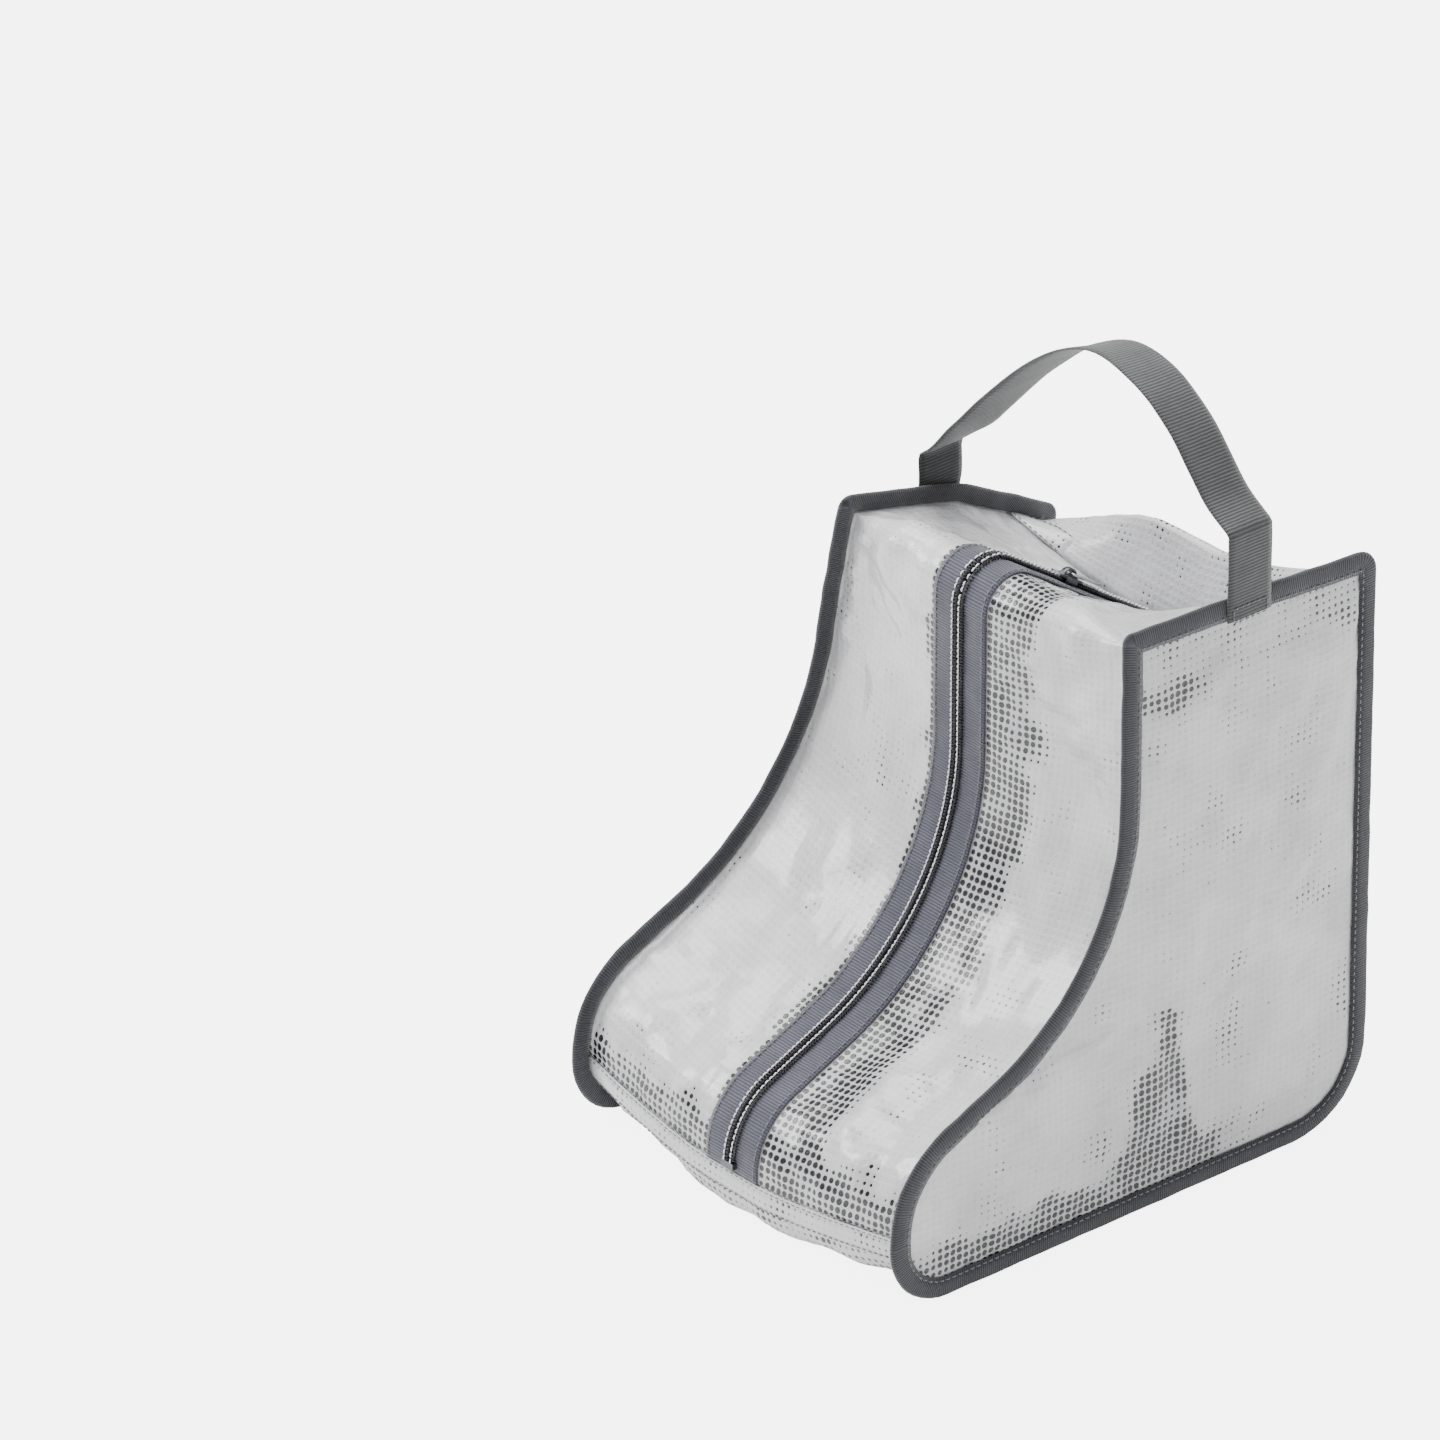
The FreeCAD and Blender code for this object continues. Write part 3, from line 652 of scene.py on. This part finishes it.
def lay_strap():
    """One length of webbing, folded sharply above each foot."""
    line = strap_line()
    run = lengths(line)
    profile = [(-1 + k / 4, 1) for k in range(9)] + [(1 - k / 4, -1) for k in range(9)]
    points = []
    uvs = []
    for n, p in enumerate(line):
        before = (p - line[n - 1]).normalized() if n else (line[1] - p).normalized()
        after = (line[n + 1] - p).normalized() if n < len(line) - 1 else before
        way = (before + after).normalized()
        out = Vector((-way.y, way.x))
        share = run[n] / run[-1]
        middle = LEFT_FOOT_Y + (RIGHT_FOOT_Y - LEFT_FOOT_Y) * soft_ramp(share, 0.1, 0.9)
        arch_share = soft_ramp(share, 0.14, 0.35) * (1 - soft_ramp(share, 0.7, 0.86))
        twist = -0.17 * soft_ramp(share, 0.12, 0.2) * (1 - soft_ramp(share, 0.45, 0.75))
        twist += 0.05 * arch_share * noise.noise(Vector((share * 9.0, 1.0, 5.0)))
        cup = -0.9 * arch_share
        for u, face in profile:
            rounded_edge = (1 - abs(u) ** 8 * 0.55)
            off = face * STRAP_THICKNESS / 2 * rounded_edge + cup * (1 - u * u)
            off += twist * u * STRAP_WIDTH / 2 + 0.25 * noise.noise(Vector((run[n] / 18.0, u * 1.5, 2.0)))
            q = p + out * off
            points.append(at(q.x, middle + u * STRAP_WIDTH / 2, q.y))
            uvs.append((u * STRAP_WIDTH / 2 * MM, run[n] * MM))
    columns = len(profile)
    faces = grid_faces(len(line), columns, closed_columns=True)
    faces += end_caps(len(points), columns)
    obj = new_piece("handle_webbing", points, faces, uvs, body=None)
    tidy_normals(obj)
    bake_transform(obj)
    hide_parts("handle_arch", "handle_end_left", "handle_end_right")
    return obj


def panel_frame(side, out, spot, way):
    """The frame of a stitch that lies on a side panel and points along a way."""
    place = on_side(side, out, spot.x, spot.y)
    return place, Vector((0, -way.y, way.x)), Vector((0, way.x, way.y)), Vector((side, 0, 0))


def box_stitches(side):
    """The box of stitches through the strap's sewn end."""
    points, faces = bead_mesh(2.6, 0.8, 0.5)
    middle, top = (RIGHT_FOOT_Y, 307.6) if side > 0 else (LEFT_FOOT_Y, 278.5)
    out_at = RIM + 2.1
    low_y, high_y = middle - BOX_HALF_WIDTH, middle + BOX_HALF_WIDTH
    corners = [Vector(c) for c in ((low_y, top - 7), (high_y, top - 7), (high_y, top), (low_y, top))]
    frames = []
    for a, b in zip(corners, corners[1:] + corners[:1]):
        count = max(2, round((b - a).length / 3.4))
        for k in range(count):
            p = a.lerp(b, (k + 0.5) / count)
            way = (b - a).normalized()
            frames.append(panel_frame(side, out_at, p, way))
    return repeat("handle_stitches_" + word_of(side), points, faces, frames)


def binding_stitches(side, name):
    """The row of stitches near the binding's inner edge."""
    points, faces = bead_mesh(2.7, 0.75, 0.5)
    ring = stations(inset(outline(side), 9.2))[0]
    frames = []
    for p, way, _ in walk(ring + ring[:1], 3.8):
        frames.append(panel_frame(side, 3.12, p, way))
    return repeat(name, points, faces, frames)


# ---- hems ----
def sew_hem(name, at_top):
    """A folded hem across the bag, just past a cross seam."""
    left, right, middle, marks = loops()
    count = len(middle)
    order = list(range(marks[TOP_SEAM], count)) + [0]
    if not at_top:
        order = order[::-1]
    half = GUSSET_COLUMNS
    points = []
    uvs = []
    rows = []
    for side, edge, columns in ((-1, left, range(half + 1)), (1, right, range(half, -1, -1))):
        for c in columns:
            share = 0.012 + 0.988 * c / half
            rows.append([gusset_point(side, edge[n], middle[n], share) for n in order[:14]])
    centre = [sum(line, Vector()) / len(line) for line in rows]
    across = lengths(centre)
    for r, line in enumerate(rows):
        s = lengths(line)
        normal_hint = (line[0] - BAG_MIDDLE).normalized()
        beside = rows[min(r + 1, len(rows) - 1)][0] - rows[max(r - 1, 0)][0]
        way = (line[3] - line[0]).normalized()
        out = way.cross(beside).normalized()
        if out.dot(normal_hint) < 0:
            out = -out
        for share, height in ((-0.05, 0.7), (0.0, 1.5), (0.3, 1.75), (0.7, 1.75), (1.0, 1.5), (1.05, 0.7)):
            goal = (0.8 + 10.0 * share) * MM
            spot = spot_at(line, s, goal)[0]
            ripple = 0.4 * noise.noise(Vector((across[r] / MM / 9.0, share * 2, 8.0)))
            points.append(spot + out * (height + ripple) * MM)
            uvs.append((across[r], share * 10 * MM))
    faces = grid_faces(len(rows), HEM_POINTS)
    # painted shade of half strength through the hem's windows
    obj = new_piece(name, points, faces, uvs, marks=[0.5] * len(points))
    face_outwards(obj)
    return obj


def hem_stitches(hem, name, share_rows):
    """Rows of stitches through a folded hem, along its long edges."""
    points, faces = bead_mesh(2.6, 0.7, 0.5, 6)
    vertices = [v.co.copy() for v in hem.data.vertices]
    frames = []
    for row in share_rows:
        line = vertices[row::HEM_POINTS]
        run = lengths(line)
        goal = 1.5 * MM
        while goal < run[-1]:
            place, n = spot_at(line, run, goal)
            along = (line[n + 1] - line[n]).normalized()
            across = (vertices[n * HEM_POINTS + 4] - vertices[n * HEM_POINTS + 1]).normalized()
            out = across.cross(along).normalized()
            if out.dot(place - BAG_MIDDLE) < 0:
                out = -out
            frames.append((place + out * 0.3 * MM, along.cross(out), along, out))
            goal += 3.6 * MM
    return repeat(name, points, faces, frames)


# ---- hard pieces, drawn in millimetres with Y along the zipper and Z out of the fabric ----
def slider_place():
    """The slider's foot on the zipper's path, and the zipper's directions there."""
    joints = {joint["name"]: joint for joint in frame["record"]["behaviour"]["joints"]}
    along = Vector(joints["zipper_slide"]["axis"]).normalized()
    out = Vector((0, -along.z, along.y))
    return Vector(joints["pull_tab_hinge"]["pos_m"]) - out * PULL_HEIGHT * MM, along, out


def fix_place(name):
    """Applies the place of the piece just added, and names it."""
    obj = bpy.context.active_object
    obj.name = name
    bpy.ops.object.transform_apply(location=True, rotation=True, scale=True)
    return obj


def add_block(name, size, place):
    """A block of metal at its size and place."""
    bpy.ops.object.select_all(action="DESELECT")
    bpy.ops.mesh.primitive_cube_add(size=1.0, scale=size, location=place)
    return fix_place(name)


def round_edges(obj, width, segments=2, angle=30):
    bevel = obj.modifiers.new("rounded edges", "BEVEL")
    bevel.width = width
    bevel.segments = segments
    bevel.limit_method = "ANGLE"
    bevel.angle_limit = math.radians(angle)
    bpy.context.view_layer.objects.active = obj
    bpy.ops.object.modifier_apply(modifier=bevel.name)


def join_pieces(pieces, name):
    bpy.ops.object.select_all(action="DESELECT")
    for piece in pieces:
        piece.select_set(True)
    bpy.context.view_layer.objects.active = pieces[0]
    bpy.ops.object.join()
    joined = bpy.context.active_object
    joined.name = name
    joined.data.name = name
    return joined


def settle(obj, place, along, out, body):
    """Moves a finished piece to its place on the bag and shades it."""
    across = along.cross(out)
    turn = Matrix((across, along, out)).transposed().to_4x4()
    obj.data.transform(Matrix.Translation(place) @ turn @ Matrix.Scale(MM, 4))
    bpy.ops.object.select_all(action="DESELECT")
    obj.select_set(True)
    bpy.context.view_layer.objects.active = obj
    bpy.ops.object.shade_smooth_by_angle(angle=math.radians(35))
    obj.select_set(False)
    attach(obj, body)
    return obj


def slider_plate(name, z):
    """A slider plate: wide at its mouth, waisted behind, with drawn-in corners."""
    width, length = 11.6, 17.0
    plate = add_block(name, (width, length, 1.2), (0, 0, z))
    edit_all(bpy.ops.mesh.subdivide, number_cuts=7)
    for vertex in plate.data.vertices:
        back = (vertex.co.y + length / 2) / length
        corner = max(0.0, abs(vertex.co.x) / (width / 2) - 0.5) / 0.5
        vertex.co.y *= 1 - 0.24 * corner ** 2
        vertex.co.x *= 1.0 - 0.26 * soft_ramp(back, 0.35, 1.0)
    round_edges(plate, 0.3, 2, 50)
    return plate


def slider_bow():
    """The bow over the slider that holds the pull: a bar spun half a turn, then flattened a little."""
    bpy.ops.object.select_all(action="DESELECT")
    radius = 4.2
    bpy.ops.mesh.primitive_plane_add(size=1.0, location=(0, -radius, 0))
    bow = fix_place("slider bow")
    for vertex in bow.data.vertices:
        vertex.co.x *= 3.0
        vertex.co.y = -radius + (vertex.co.y + radius) * 1.5
    edit_all(bpy.ops.mesh.spin, steps=14, angle=math.pi, center=(0, 0, 0), axis=(-1, 0, 0))
    if max(v.co.z for v in bow.data.vertices) < 1:
        bow.data.transform(Matrix.Scale(-1, 4, Vector((0, 0, 1))))
    bow.data.transform(Matrix.Translation((0, 0, 4.9)) @ Matrix.Scale(0.9, 4, Vector((0, 0, 1))))
    tidy_normals(bow)
    round_edges(bow, 0.4, 2, 50)
    return bow


def make_slider():
    """The slider: two waisted plates, side guides, a neck between the tapes and a bow for the pull."""
    parts = [slider_plate("slider top plate", 4.6), slider_plate("slider bottom plate", -0.4)]
    for side in (-1, 1):
        guide = add_block("slider guide", (1.2, 8.5, 3.1), (side * 5.0, -1.5, 3.6))
        round_edges(guide, 0.3)
        parts.append(guide)
    neck = add_block("slider neck", (1.2, 4.0, 6.0), (0, -5.5, 2.1))
    round_edges(neck, 0.2)
    parts.append(neck)
    crown = add_block("slider crown", (4.4, 10.6, 0.8), (0, 0.2, 5.35))
    round_edges(crown, 0.3)
    parts += [crown, slider_bow()]
    place, along, out = slider_place()
    return settle(join_pieces(parts, "zipper_slider_body"), place, along, out, "slider")


def make_pull():
    """The pull: a bar through the bow, two arms and a blade with a raised rim."""
    bpy.ops.object.select_all(action="DESELECT")
    bpy.ops.mesh.primitive_cylinder_add(vertices=16, radius=0.8, depth=7.8, location=(0, 0, PULL_HEIGHT),
                                        rotation=(0, math.pi / 2, 0))
    bar = fix_place("pull_bar")
    round_edges(bar, 0.2)
    parts = [bar]
    for side in (-1, 1):
        arm = add_block("pull arm", (1.5, 8.6, 1.5), (side * 3.25, 3.6, PULL_HEIGHT))
        round_edges(arm, 0.45)
        parts.append(arm)
    length = 14.8
    blade = add_block("pull blade", (8.0, length, 1.3), (0, 14.6, PULL_HEIGHT))
    edit_all(bpy.ops.mesh.subdivide, number_cuts=3)
    for vertex in blade.data.vertices:
        far = (vertex.co.y - 7.2) / length
        vertex.co.x *= 1 - 0.16 * soft_ramp(far, 0.0, 1.0) - 0.22 * soft_ramp(far, 0.8, 1.0)
    bpy.ops.object.mode_set(mode="EDIT")
    bpy.ops.mesh.select_all(action="DESELECT")
    bpy.ops.object.mode_set(mode="OBJECT")
    for polygon in blade.data.polygons:
        polygon.select = abs(polygon.normal.z) > 0.9
    bpy.ops.object.mode_set(mode="EDIT")
    bpy.ops.mesh.select_mode(type="FACE")
    bpy.ops.mesh.inset(thickness=1.1, depth=-0.28)
    bpy.ops.object.mode_set(mode="OBJECT")
    round_edges(blade, 0.22, 2, 40)
    parts.append(blade)
    place, along, out = slider_place()
    return settle(join_pieces(parts, "zipper_pull"), place, along, out, "pull_tab")


# ---- materials ----
def linear(code):
    """An sRGB hex value as linear light."""
    values = [int(code[n:n + 2], 16) / 255 for n in (1, 3, 5)]
    return tuple(v / 12.92 if v <= 0.04045 else ((v + 0.055) / 1.055) ** 2.4 for v in values) + (1.0,)


def add_node(tree, kind, values=None, links=None, **settings):
    """Adds a node with its settings, fixed input values and links."""
    node = tree.nodes.new(kind)
    for name, value in settings.items():
        setattr(node, name, value)
    for name, value in (values or {}).items():
        node.inputs[name].default_value = value
    for name, source in (links or {}).items():
        tree.links.new(source, node.inputs[name])
    return node


def new_material(name, **values):
    material = bpy.data.materials.new(name)
    material.use_nodes = True
    tree = material.node_tree
    shader = tree.nodes["Principled BSDF"]
    for key, value in values.items():
        shader.inputs[key.replace("_", " ")].default_value = value
    return material, tree, shader


def calc(tree, operation, *terms, kind="ShaderNodeMath"):
    """One sum, from constants and other nodes' outputs."""
    node = add_node(tree, kind, operation=operation)
    for place, term in enumerate(terms):
        if isinstance(term, bpy.types.NodeSocket):
            tree.links.new(term, node.inputs[place])
        else:
            node.inputs[place].default_value = term
    return node.outputs[0]


def ramp(tree, value, low=0.0, high=1.0, start=0.0, end=1.0, shape="LINEAR"):
    """Carries a value from the range low to high over to the range start to end."""
    limits = {"From Min": low, "From Max": high, "To Min": start, "To Max": end}
    return add_node(tree, "ShaderNodeMapRange", limits, {"Value": value}, interpolation_type=shape).outputs[0]


def clouds(tree, space, scale, detail=2.0, roughness=0.5, **settings):
    values = {"Scale": scale, "Detail": detail, "Roughness": roughness}
    return add_node(tree, "ShaderNodeTexNoise", values, {"Vector": space}, **settings).outputs["Fac"]


def mixed(tree, factor, first, second):
    """Two colours mixed, each a hex value or another node's output."""
    node = add_node(tree, "ShaderNodeMix", links={"Factor": factor}, data_type="RGBA")
    for name, colour in (("A", first), ("B", second)):
        if isinstance(colour, str):
            node.inputs[name].default_value = linear(colour)
        else:
            tree.links.new(colour, node.inputs[name])
    return node.outputs["Result"]


def bump(tree, height, strength, distance, under=None, **settings):
    """Relief from a height, over another relief where one is given."""
    links = {"Height": height}
    if under:
        links["Normal"] = under
    values = {"Strength": strength, "Distance": distance}
    return add_node(tree, "ShaderNodeBump", values, links, **settings).outputs[0]


def drive_shader(tree, shader, **sources):
    for name, source in sources.items():
        tree.links.new(source, shader.inputs[name.replace("_", " ")])


def object_space(tree):
    return add_node(tree, "ShaderNodeTexCoord").outputs["Object"]


def cloth_space(tree):
    return add_node(tree, "ShaderNodeUVMap", uv_map="cloth").outputs["UV"]


def from_cell_middle(tree, space, pitch_mm):
    """Distance from the middle of each square cell of the cloth: 0 there, and 0.5 at an edge's middle."""
    vector = {"kind": "ShaderNodeVectorMath"}
    scaled = calc(tree, "MULTIPLY", space, (1000 / pitch_mm,) * 3, **vector)
    part = calc(tree, "FRACTION", scaled, **vector)
    middle = calc(tree, "SUBTRACT", part, (0.5, 0.5, 0.0), **vector)
    flat = calc(tree, "MULTIPLY", middle, (1.0, 1.0, 0.0), **vector)
    return add_node(tree, "ShaderNodeVectorMath", links={0: flat}, operation="LENGTH").outputs["Value"]


def grid_film():
    """Woven grid laminated in clear film: milky white ribs round small windows, glossy, with painted shade in
    the windows and on the film round them, for shade seen through it. Gives the milky sheen with rows of dark
    dots."""
    material, tree, shader = new_material("clear grid film, laminated", IOR=1.5, Specular_IOR_Level=0.55,
                                          Coat_Weight=0.45, Coat_Roughness=0.12)
    cloth = cloth_space(tree)
    distance = from_cell_middle(tree, cloth, WINDOW_PITCH)
    window = ramp(tree, distance, 0.26, 0.42, 1.0, 0.0, "SMOOTHSTEP")
    place = object_space(tree)
    cloud = clouds(tree, place, 26.0, 6.0, 0.62)
    streak_space = add_node(tree, "ShaderNodeMapping", {"Scale": (55.0, 55.0, 1.0)}, {"Vector": cloth})
    streak = clouds(tree, streak_space.outputs["Vector"], 1.0, 3.0)
    marks = add_node(tree, "ShaderNodeAttribute", attribute_name="see_through_shade").outputs["Fac"]
    # painted shade: the per-point marks, made patchy, set how large the dark dots grow
    shade_share = calc(tree, "ADD", marks, ramp(tree, streak, 0.3, 0.7, -0.3, 0.3))
    size = ramp(tree, shade_share, 0.3, 1.0, 0.0, 0.44)
    dots = ramp(tree, calc(tree, "SUBTRACT", size, distance), 0.0, 0.06, shape="SMOOTHSTEP")
    film = mixed(tree, cloud, "#A9A9AB", "#E6E6E9")
    # painted shade: the film darkens where the marks are strong, as if shade showed through it
    shaded_film = mixed(tree, calc(tree, "MULTIPLY", marks, 0.6), film, "#8E8F92")
    veiled = mixed(tree, calc(tree, "MULTIPLY", window, 0.22), shaded_film, "#A2A3A6")
    relief = bump(tree, window, 0.35, 0.0004, invert=True)
    crumple = bump(tree, cloud, 0.8, 0.0026, relief)
    crinkle = clouds(tree, place, 48.0, 4.0, 0.55, noise_type="RIDGED_MULTIFRACTAL")
    # painted shade: near-black dots in the windows, for shade seen through them
    drive_shader(tree, shader, Base_Color=mixed(tree, dots, veiled, "#08080A"),
                 Roughness=ramp(tree, cloud, start=0.16, end=0.42),
                 Alpha=ramp(tree, dots, start=0.93, end=0.72),
                 Normal=bump(tree, crinkle, 0.35, 0.0016, crumple))
    return material


def woven_tape(name, dark, light, rib_mm, roughness):
    """Ribbed polyester tape: fine ridges across it, lighter on the ridge tops in cloudy patches and darker in
    the grooves. The ribs are drawn coarser than the real 0.4 mm so that they show."""
    material, tree, shader = new_material(name, Roughness=roughness, Sheen_Weight=0.25, Sheen_Roughness=0.5,
                                          Specular_IOR_Level=0.3)
    cloth = cloth_space(tree)
    along = add_node(tree, "ShaderNodeSeparateXYZ", links={0: cloth}).outputs["Y"]
    wobble = calc(tree, "MULTIPLY", clouds(tree, cloth, 300.0, 2.0), 2.2)
    phase = calc(tree, "ADD", calc(tree, "MULTIPLY", along, 2000 * math.pi / rib_mm), wobble)
    height = ramp(tree, calc(tree, "SINE", phase), low=-1.0)
    cloud_patches = clouds(tree, object_space(tree), 60.0, 6.0, 0.65)
    # colour follows the rib height: lighter on the ridge tops where the cloud noise is high, darker in the
    # grooves
    share = ramp(tree, calc(tree, "MULTIPLY", height, cloud_patches), 0.0, 0.65)
    ribs = bump(tree, height, 0.55, 0.0003)
    drive_shader(tree, shader, Base_Color=mixed(tree, share, dark, light),
                 Normal=bump(tree, cloud_patches, 0.4, 0.0008, ribs))
    return material


def spun_thread(name, dark, light):
    """Spun polyester thread: twisted plies that catch the light in fine slanted lines."""
    material, tree, shader = new_material(name, Roughness=0.55, Sheen_Weight=0.3)
    ply = add_node(tree, "ShaderNodeTexWave", {"Scale": 500.0, "Distortion": 1.5},
                   {"Vector": object_space(tree)}, bands_direction="DIAGONAL").outputs["Fac"]
    drive_shader(tree, shader, Base_Color=mixed(tree, ply, dark, light), Normal=bump(tree, ply, 0.4, 0.0002))
    return material


def nylon_filament():
    """Drawn nylon monofilament, dyed black: smooth, with a narrow gloss along each turn."""
    material, tree, shader = new_material("black nylon filament, drawn", Roughness=0.3, IOR=1.53)
    rub = clouds(tree, object_space(tree), 240.0, 3.0)
    drive_shader(tree, shader, Base_Color=mixed(tree, rub, "#0C0C0E", "#2A2B2F"))
    return material


def cast_zinc(name, dark, light, roughness):
    """Die-cast zinc with a plated finish: bright, with rubbed patches on its broad faces."""
    material, tree, shader = new_material(name, Metallic=1.0, Roughness=roughness)
    rub = clouds(tree, object_space(tree), 700.0, 4.0)
    drive_shader(tree, shader, Base_Color=mixed(tree, rub, dark, light),
                 Roughness=ramp(tree, rub, start=roughness * 0.7, end=roughness * 1.4),
                 Normal=bump(tree, rub, 0.15, 0.0001))
    return material


def seen_directly(tree, share):
    """Share for what the camera sees with no film in between, and 0 for every other ray."""
    rays = add_node(tree, "ShaderNodeLightPath")
    bare = calc(tree, "LESS_THAN", rays.outputs["Transparent Depth"], 0.5)
    return calc(tree, "MULTIPLY", bare, calc(tree, "MULTIPLY", rays.outputs["Is Camera Ray"], share))


def painted_floor():
    """Matt white paint, a little uneven. Its glow shows to the camera alone, so it doesn't light the bag."""
    material, tree, shader = new_material("pale matt paint", Roughness=0.75, Emission_Color=(1, 1, 1, 1),
                                          Emission_Strength=0.5)
    tone = clouds(tree, object_space(tree), 3.0)
    drive_shader(tree, shader, Base_Color=mixed(tree, tone, "#F6F6F6", "#FBFBFB"))
    glow = add_node(tree, "ShaderNodeEmission", {"Color": (1, 1, 1, 1), "Strength": 7.0})
    lit = add_node(tree, "ShaderNodeMixShader",
                   links={0: seen_directly(tree, 0.8), 1: shader.outputs[0], 2: glow.outputs[0]})
    tree.links.new(lit.outputs[0], tree.nodes["Material Output"].inputs["Surface"])
    return material


def finish_with(material, piece):
    piece.data.materials.clear()
    piece.data.materials.append(material)


def stand_in(piece, node, material):
    """Finishes a piece and puts it in a CAD node's place."""
    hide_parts(node)
    finish_with(material, piece)
    return piece


# ---- the bag ----
def give_thickness(obj, thickness=CLOTH):
    solid = obj.modifiers.new("film thickness", "SOLIDIFY")
    solid.thickness = thickness * MM
    solid.offset = 0.0


def sew_zipper(side, zip_tape, filament, tape_thread, coil_highlight):
    """One side of the zipper: its tape and coil, the stitches through the tape, and a row of white beads on
    the coil, a painted highlight.
    """
    word = word_of(side)
    path = zipper_path()
    low, high = sorted((side * TAPE_GAP / 2, side * (TAPE_GAP / 2 + TAPE_WIDTH)))
    tape = ribbon("zipper_tape_" + word + "_woven", path, low, high, 0.75, 1.5, 0.4, 2.2, 0.5)
    stand_in(tape, "zipper_tape_" + word, zip_tape)
    coil = wind_coil(side, "zipper_coil_" + word + "_turns")
    stand_in(coil, "zipper_coil_" + word, filament)
    points, faces = bead_mesh(2.6, 0.75, 0.55, 6)
    rows = frames_along(path, 3.4, side * TAPE_STITCH_X, 1.75, 3.0, 4.0)
    stitches = repeat("tape_stitches_" + word, points, faces, rows)
    stand_in(stitches, "tape_stitching_" + word, tape_thread)
    # painted highlight: white thread beads along the top of the coil, for the light its crest catches
    points, faces = bead_mesh(2.7, 0.95, 0.7, 6)
    rows = frames_along(path, 2.8, side * 2.35, 4.0, 7.0, 7.0)
    finish_with(coil_highlight, repeat("coil_highlight_" + word, points, faces, rows))


def sew_bag():
    film = grid_film()
    binding = woven_tape("polyester binding tape, folded", "#131417", "#3C3E46", 1.3, 0.72)
    zip_tape = woven_tape("polyester zipper tape, woven", "#2B2C34", "#585966", 1.5, 0.75)
    webbing = woven_tape("polypropylene webbing, woven", "#232525", "#4D5051", 1.7, 0.62)
    grey_thread = spun_thread("grey polyester thread, spun", "#3A3B40", "#73757B")
    # white thread used only for the painted highlight along the coil
    coil_highlight_white = spun_thread("white polyester beads, a painted coil highlight", "#BFBFC2", "#F4F4F6")
    filament = nylon_filament()
    slider_metal = cast_zinc("gunmetal zinc, plated", "#3A3B3E", "#707276", 0.32)
    pull_metal = cast_zinc("bright zinc, plated", "#8E9094", "#C9CBCE", 0.3)
    hems = []
    for at_top, word in ((True, "top"), (False, "toe")):
        hem = stand_in(sew_hem(word + "_hem_folded", at_top), word + "_seam_hem", film)
        sewn = hem_stitches(hem, word + "_hem_stitches", (1, 4))
        finish_with(grey_thread, sewn)
        give_thickness(hem, 0.6)
        hems += [hem, sewn]
    back = stand_in(sew_back_and_bottom(), "back_and_bottom_panel", film)
    give_thickness(back)
    for side, word in ((-1, "left"), (1, "right")):
        edge = stand_in(fold_binding(side, "fold_binding_" + word), "edge_binding_" + word, binding)
        rows = binding_stitches(side, "binding_stitches_" + word)
        stand_in(rows, "binding_stitching_" + word, grey_thread)
        stand_in(box_stitches(side), "handle_stitching_" + word, grey_thread)
        panel = sew_side_panel(side, "side_panel_" + word + "_cloth")
        stand_in(panel, "side_panel_" + word, film)
        give_thickness(panel)
        front = sew_front_panel(side, "front_panel_" + word + "_cloth")
        stand_in(front, "front_panel_" + word, film)
        give_thickness(front)
        sew_zipper(side, zip_tape, filament, grey_thread, coil_highlight_white)
    finish_with(webbing, lay_strap())
    stand_in(make_slider(), "zipper_slider", slider_metal)
    stand_in(make_pull(), "zipper_pull_tab", pull_metal)
    for name in ("zipper_bottom_stop", "zipper_top_stops"):
        finish_with(slider_metal, frame["nodes"][name])


# ---- floor, light and camera ----
def lay_floor():
    bpy.ops.object.select_all(action="DESELECT")
    bpy.ops.mesh.primitive_plane_add(size=14.0, location=(0, 0, -0.0004))
    floor = bpy.context.active_object
    floor.name = "floor"
    floor.data.materials.append(painted_floor())


def add_lamp(name, place, aim, size, power):
    data = bpy.data.lights.new(name, "AREA")
    data.shape = "SQUARE"
    data.size = size
    data.energy = power
    lamp = bpy.data.objects.new(name, data)
    lamp.location = place
    lamp.rotation_euler = (Vector(aim) - Vector(place)).to_track_quat("-Z", "Y").to_euler()
    bpy.context.scene.collection.objects.link(lamp)


def light_studio():
    world = bpy.data.worlds.new("white studio")
    world.use_nodes = True
    tree = world.node_tree
    room = tree.nodes["Background"]
    room.inputs["Strength"].default_value = 0.6
    room.inputs["Color"].default_value = (1, 1, 1, 1)
    wall = add_node(tree, "ShaderNodeBackground", {"Color": (1, 1, 1, 1), "Strength": 6.0})
    seen = add_node(tree, "ShaderNodeMixShader",
                    links={0: seen_directly(tree, 1.0), 1: room.outputs[0], 2: wall.outputs[0]})
    tree.links.new(seen.outputs[0], tree.nodes["World Output"].inputs["Surface"])
    bpy.context.scene.world = world
    add_lamp("overhead softbox", (-0.5, 0.2, 2.6), (0, 0, 0), 2.6, 190)
    add_lamp("key softbox", (-1.5, -1.5, 1.5), (0, 0, 0.15), 0.8, 40)


def place_camera():
    azimuth, elevation = math.radians(49.78), math.radians(28.78)
    back = Vector((math.sin(azimuth) * math.cos(elevation), -math.cos(azimuth) * math.cos(elevation),
                   math.sin(elevation)))
    right = Vector((math.cos(azimuth), math.sin(azimuth), 0))
    up = back.cross(right)
    data = bpy.data.cameras.new("camera")
    data.lens = 375
    data.sensor_width = 36
    data.clip_end = 50
    camera = bpy.data.objects.new("camera", data)
    turn = Matrix((right, up, back)).transposed().to_4x4()
    camera.matrix_world = Matrix.Translation((4.6788, -4.1129, 3.6401)) @ turn
    bpy.context.scene.collection.objects.link(camera)
    bpy.context.scene.camera = camera


place_camera()
sew_bag()
lay_floor()
light_studio()
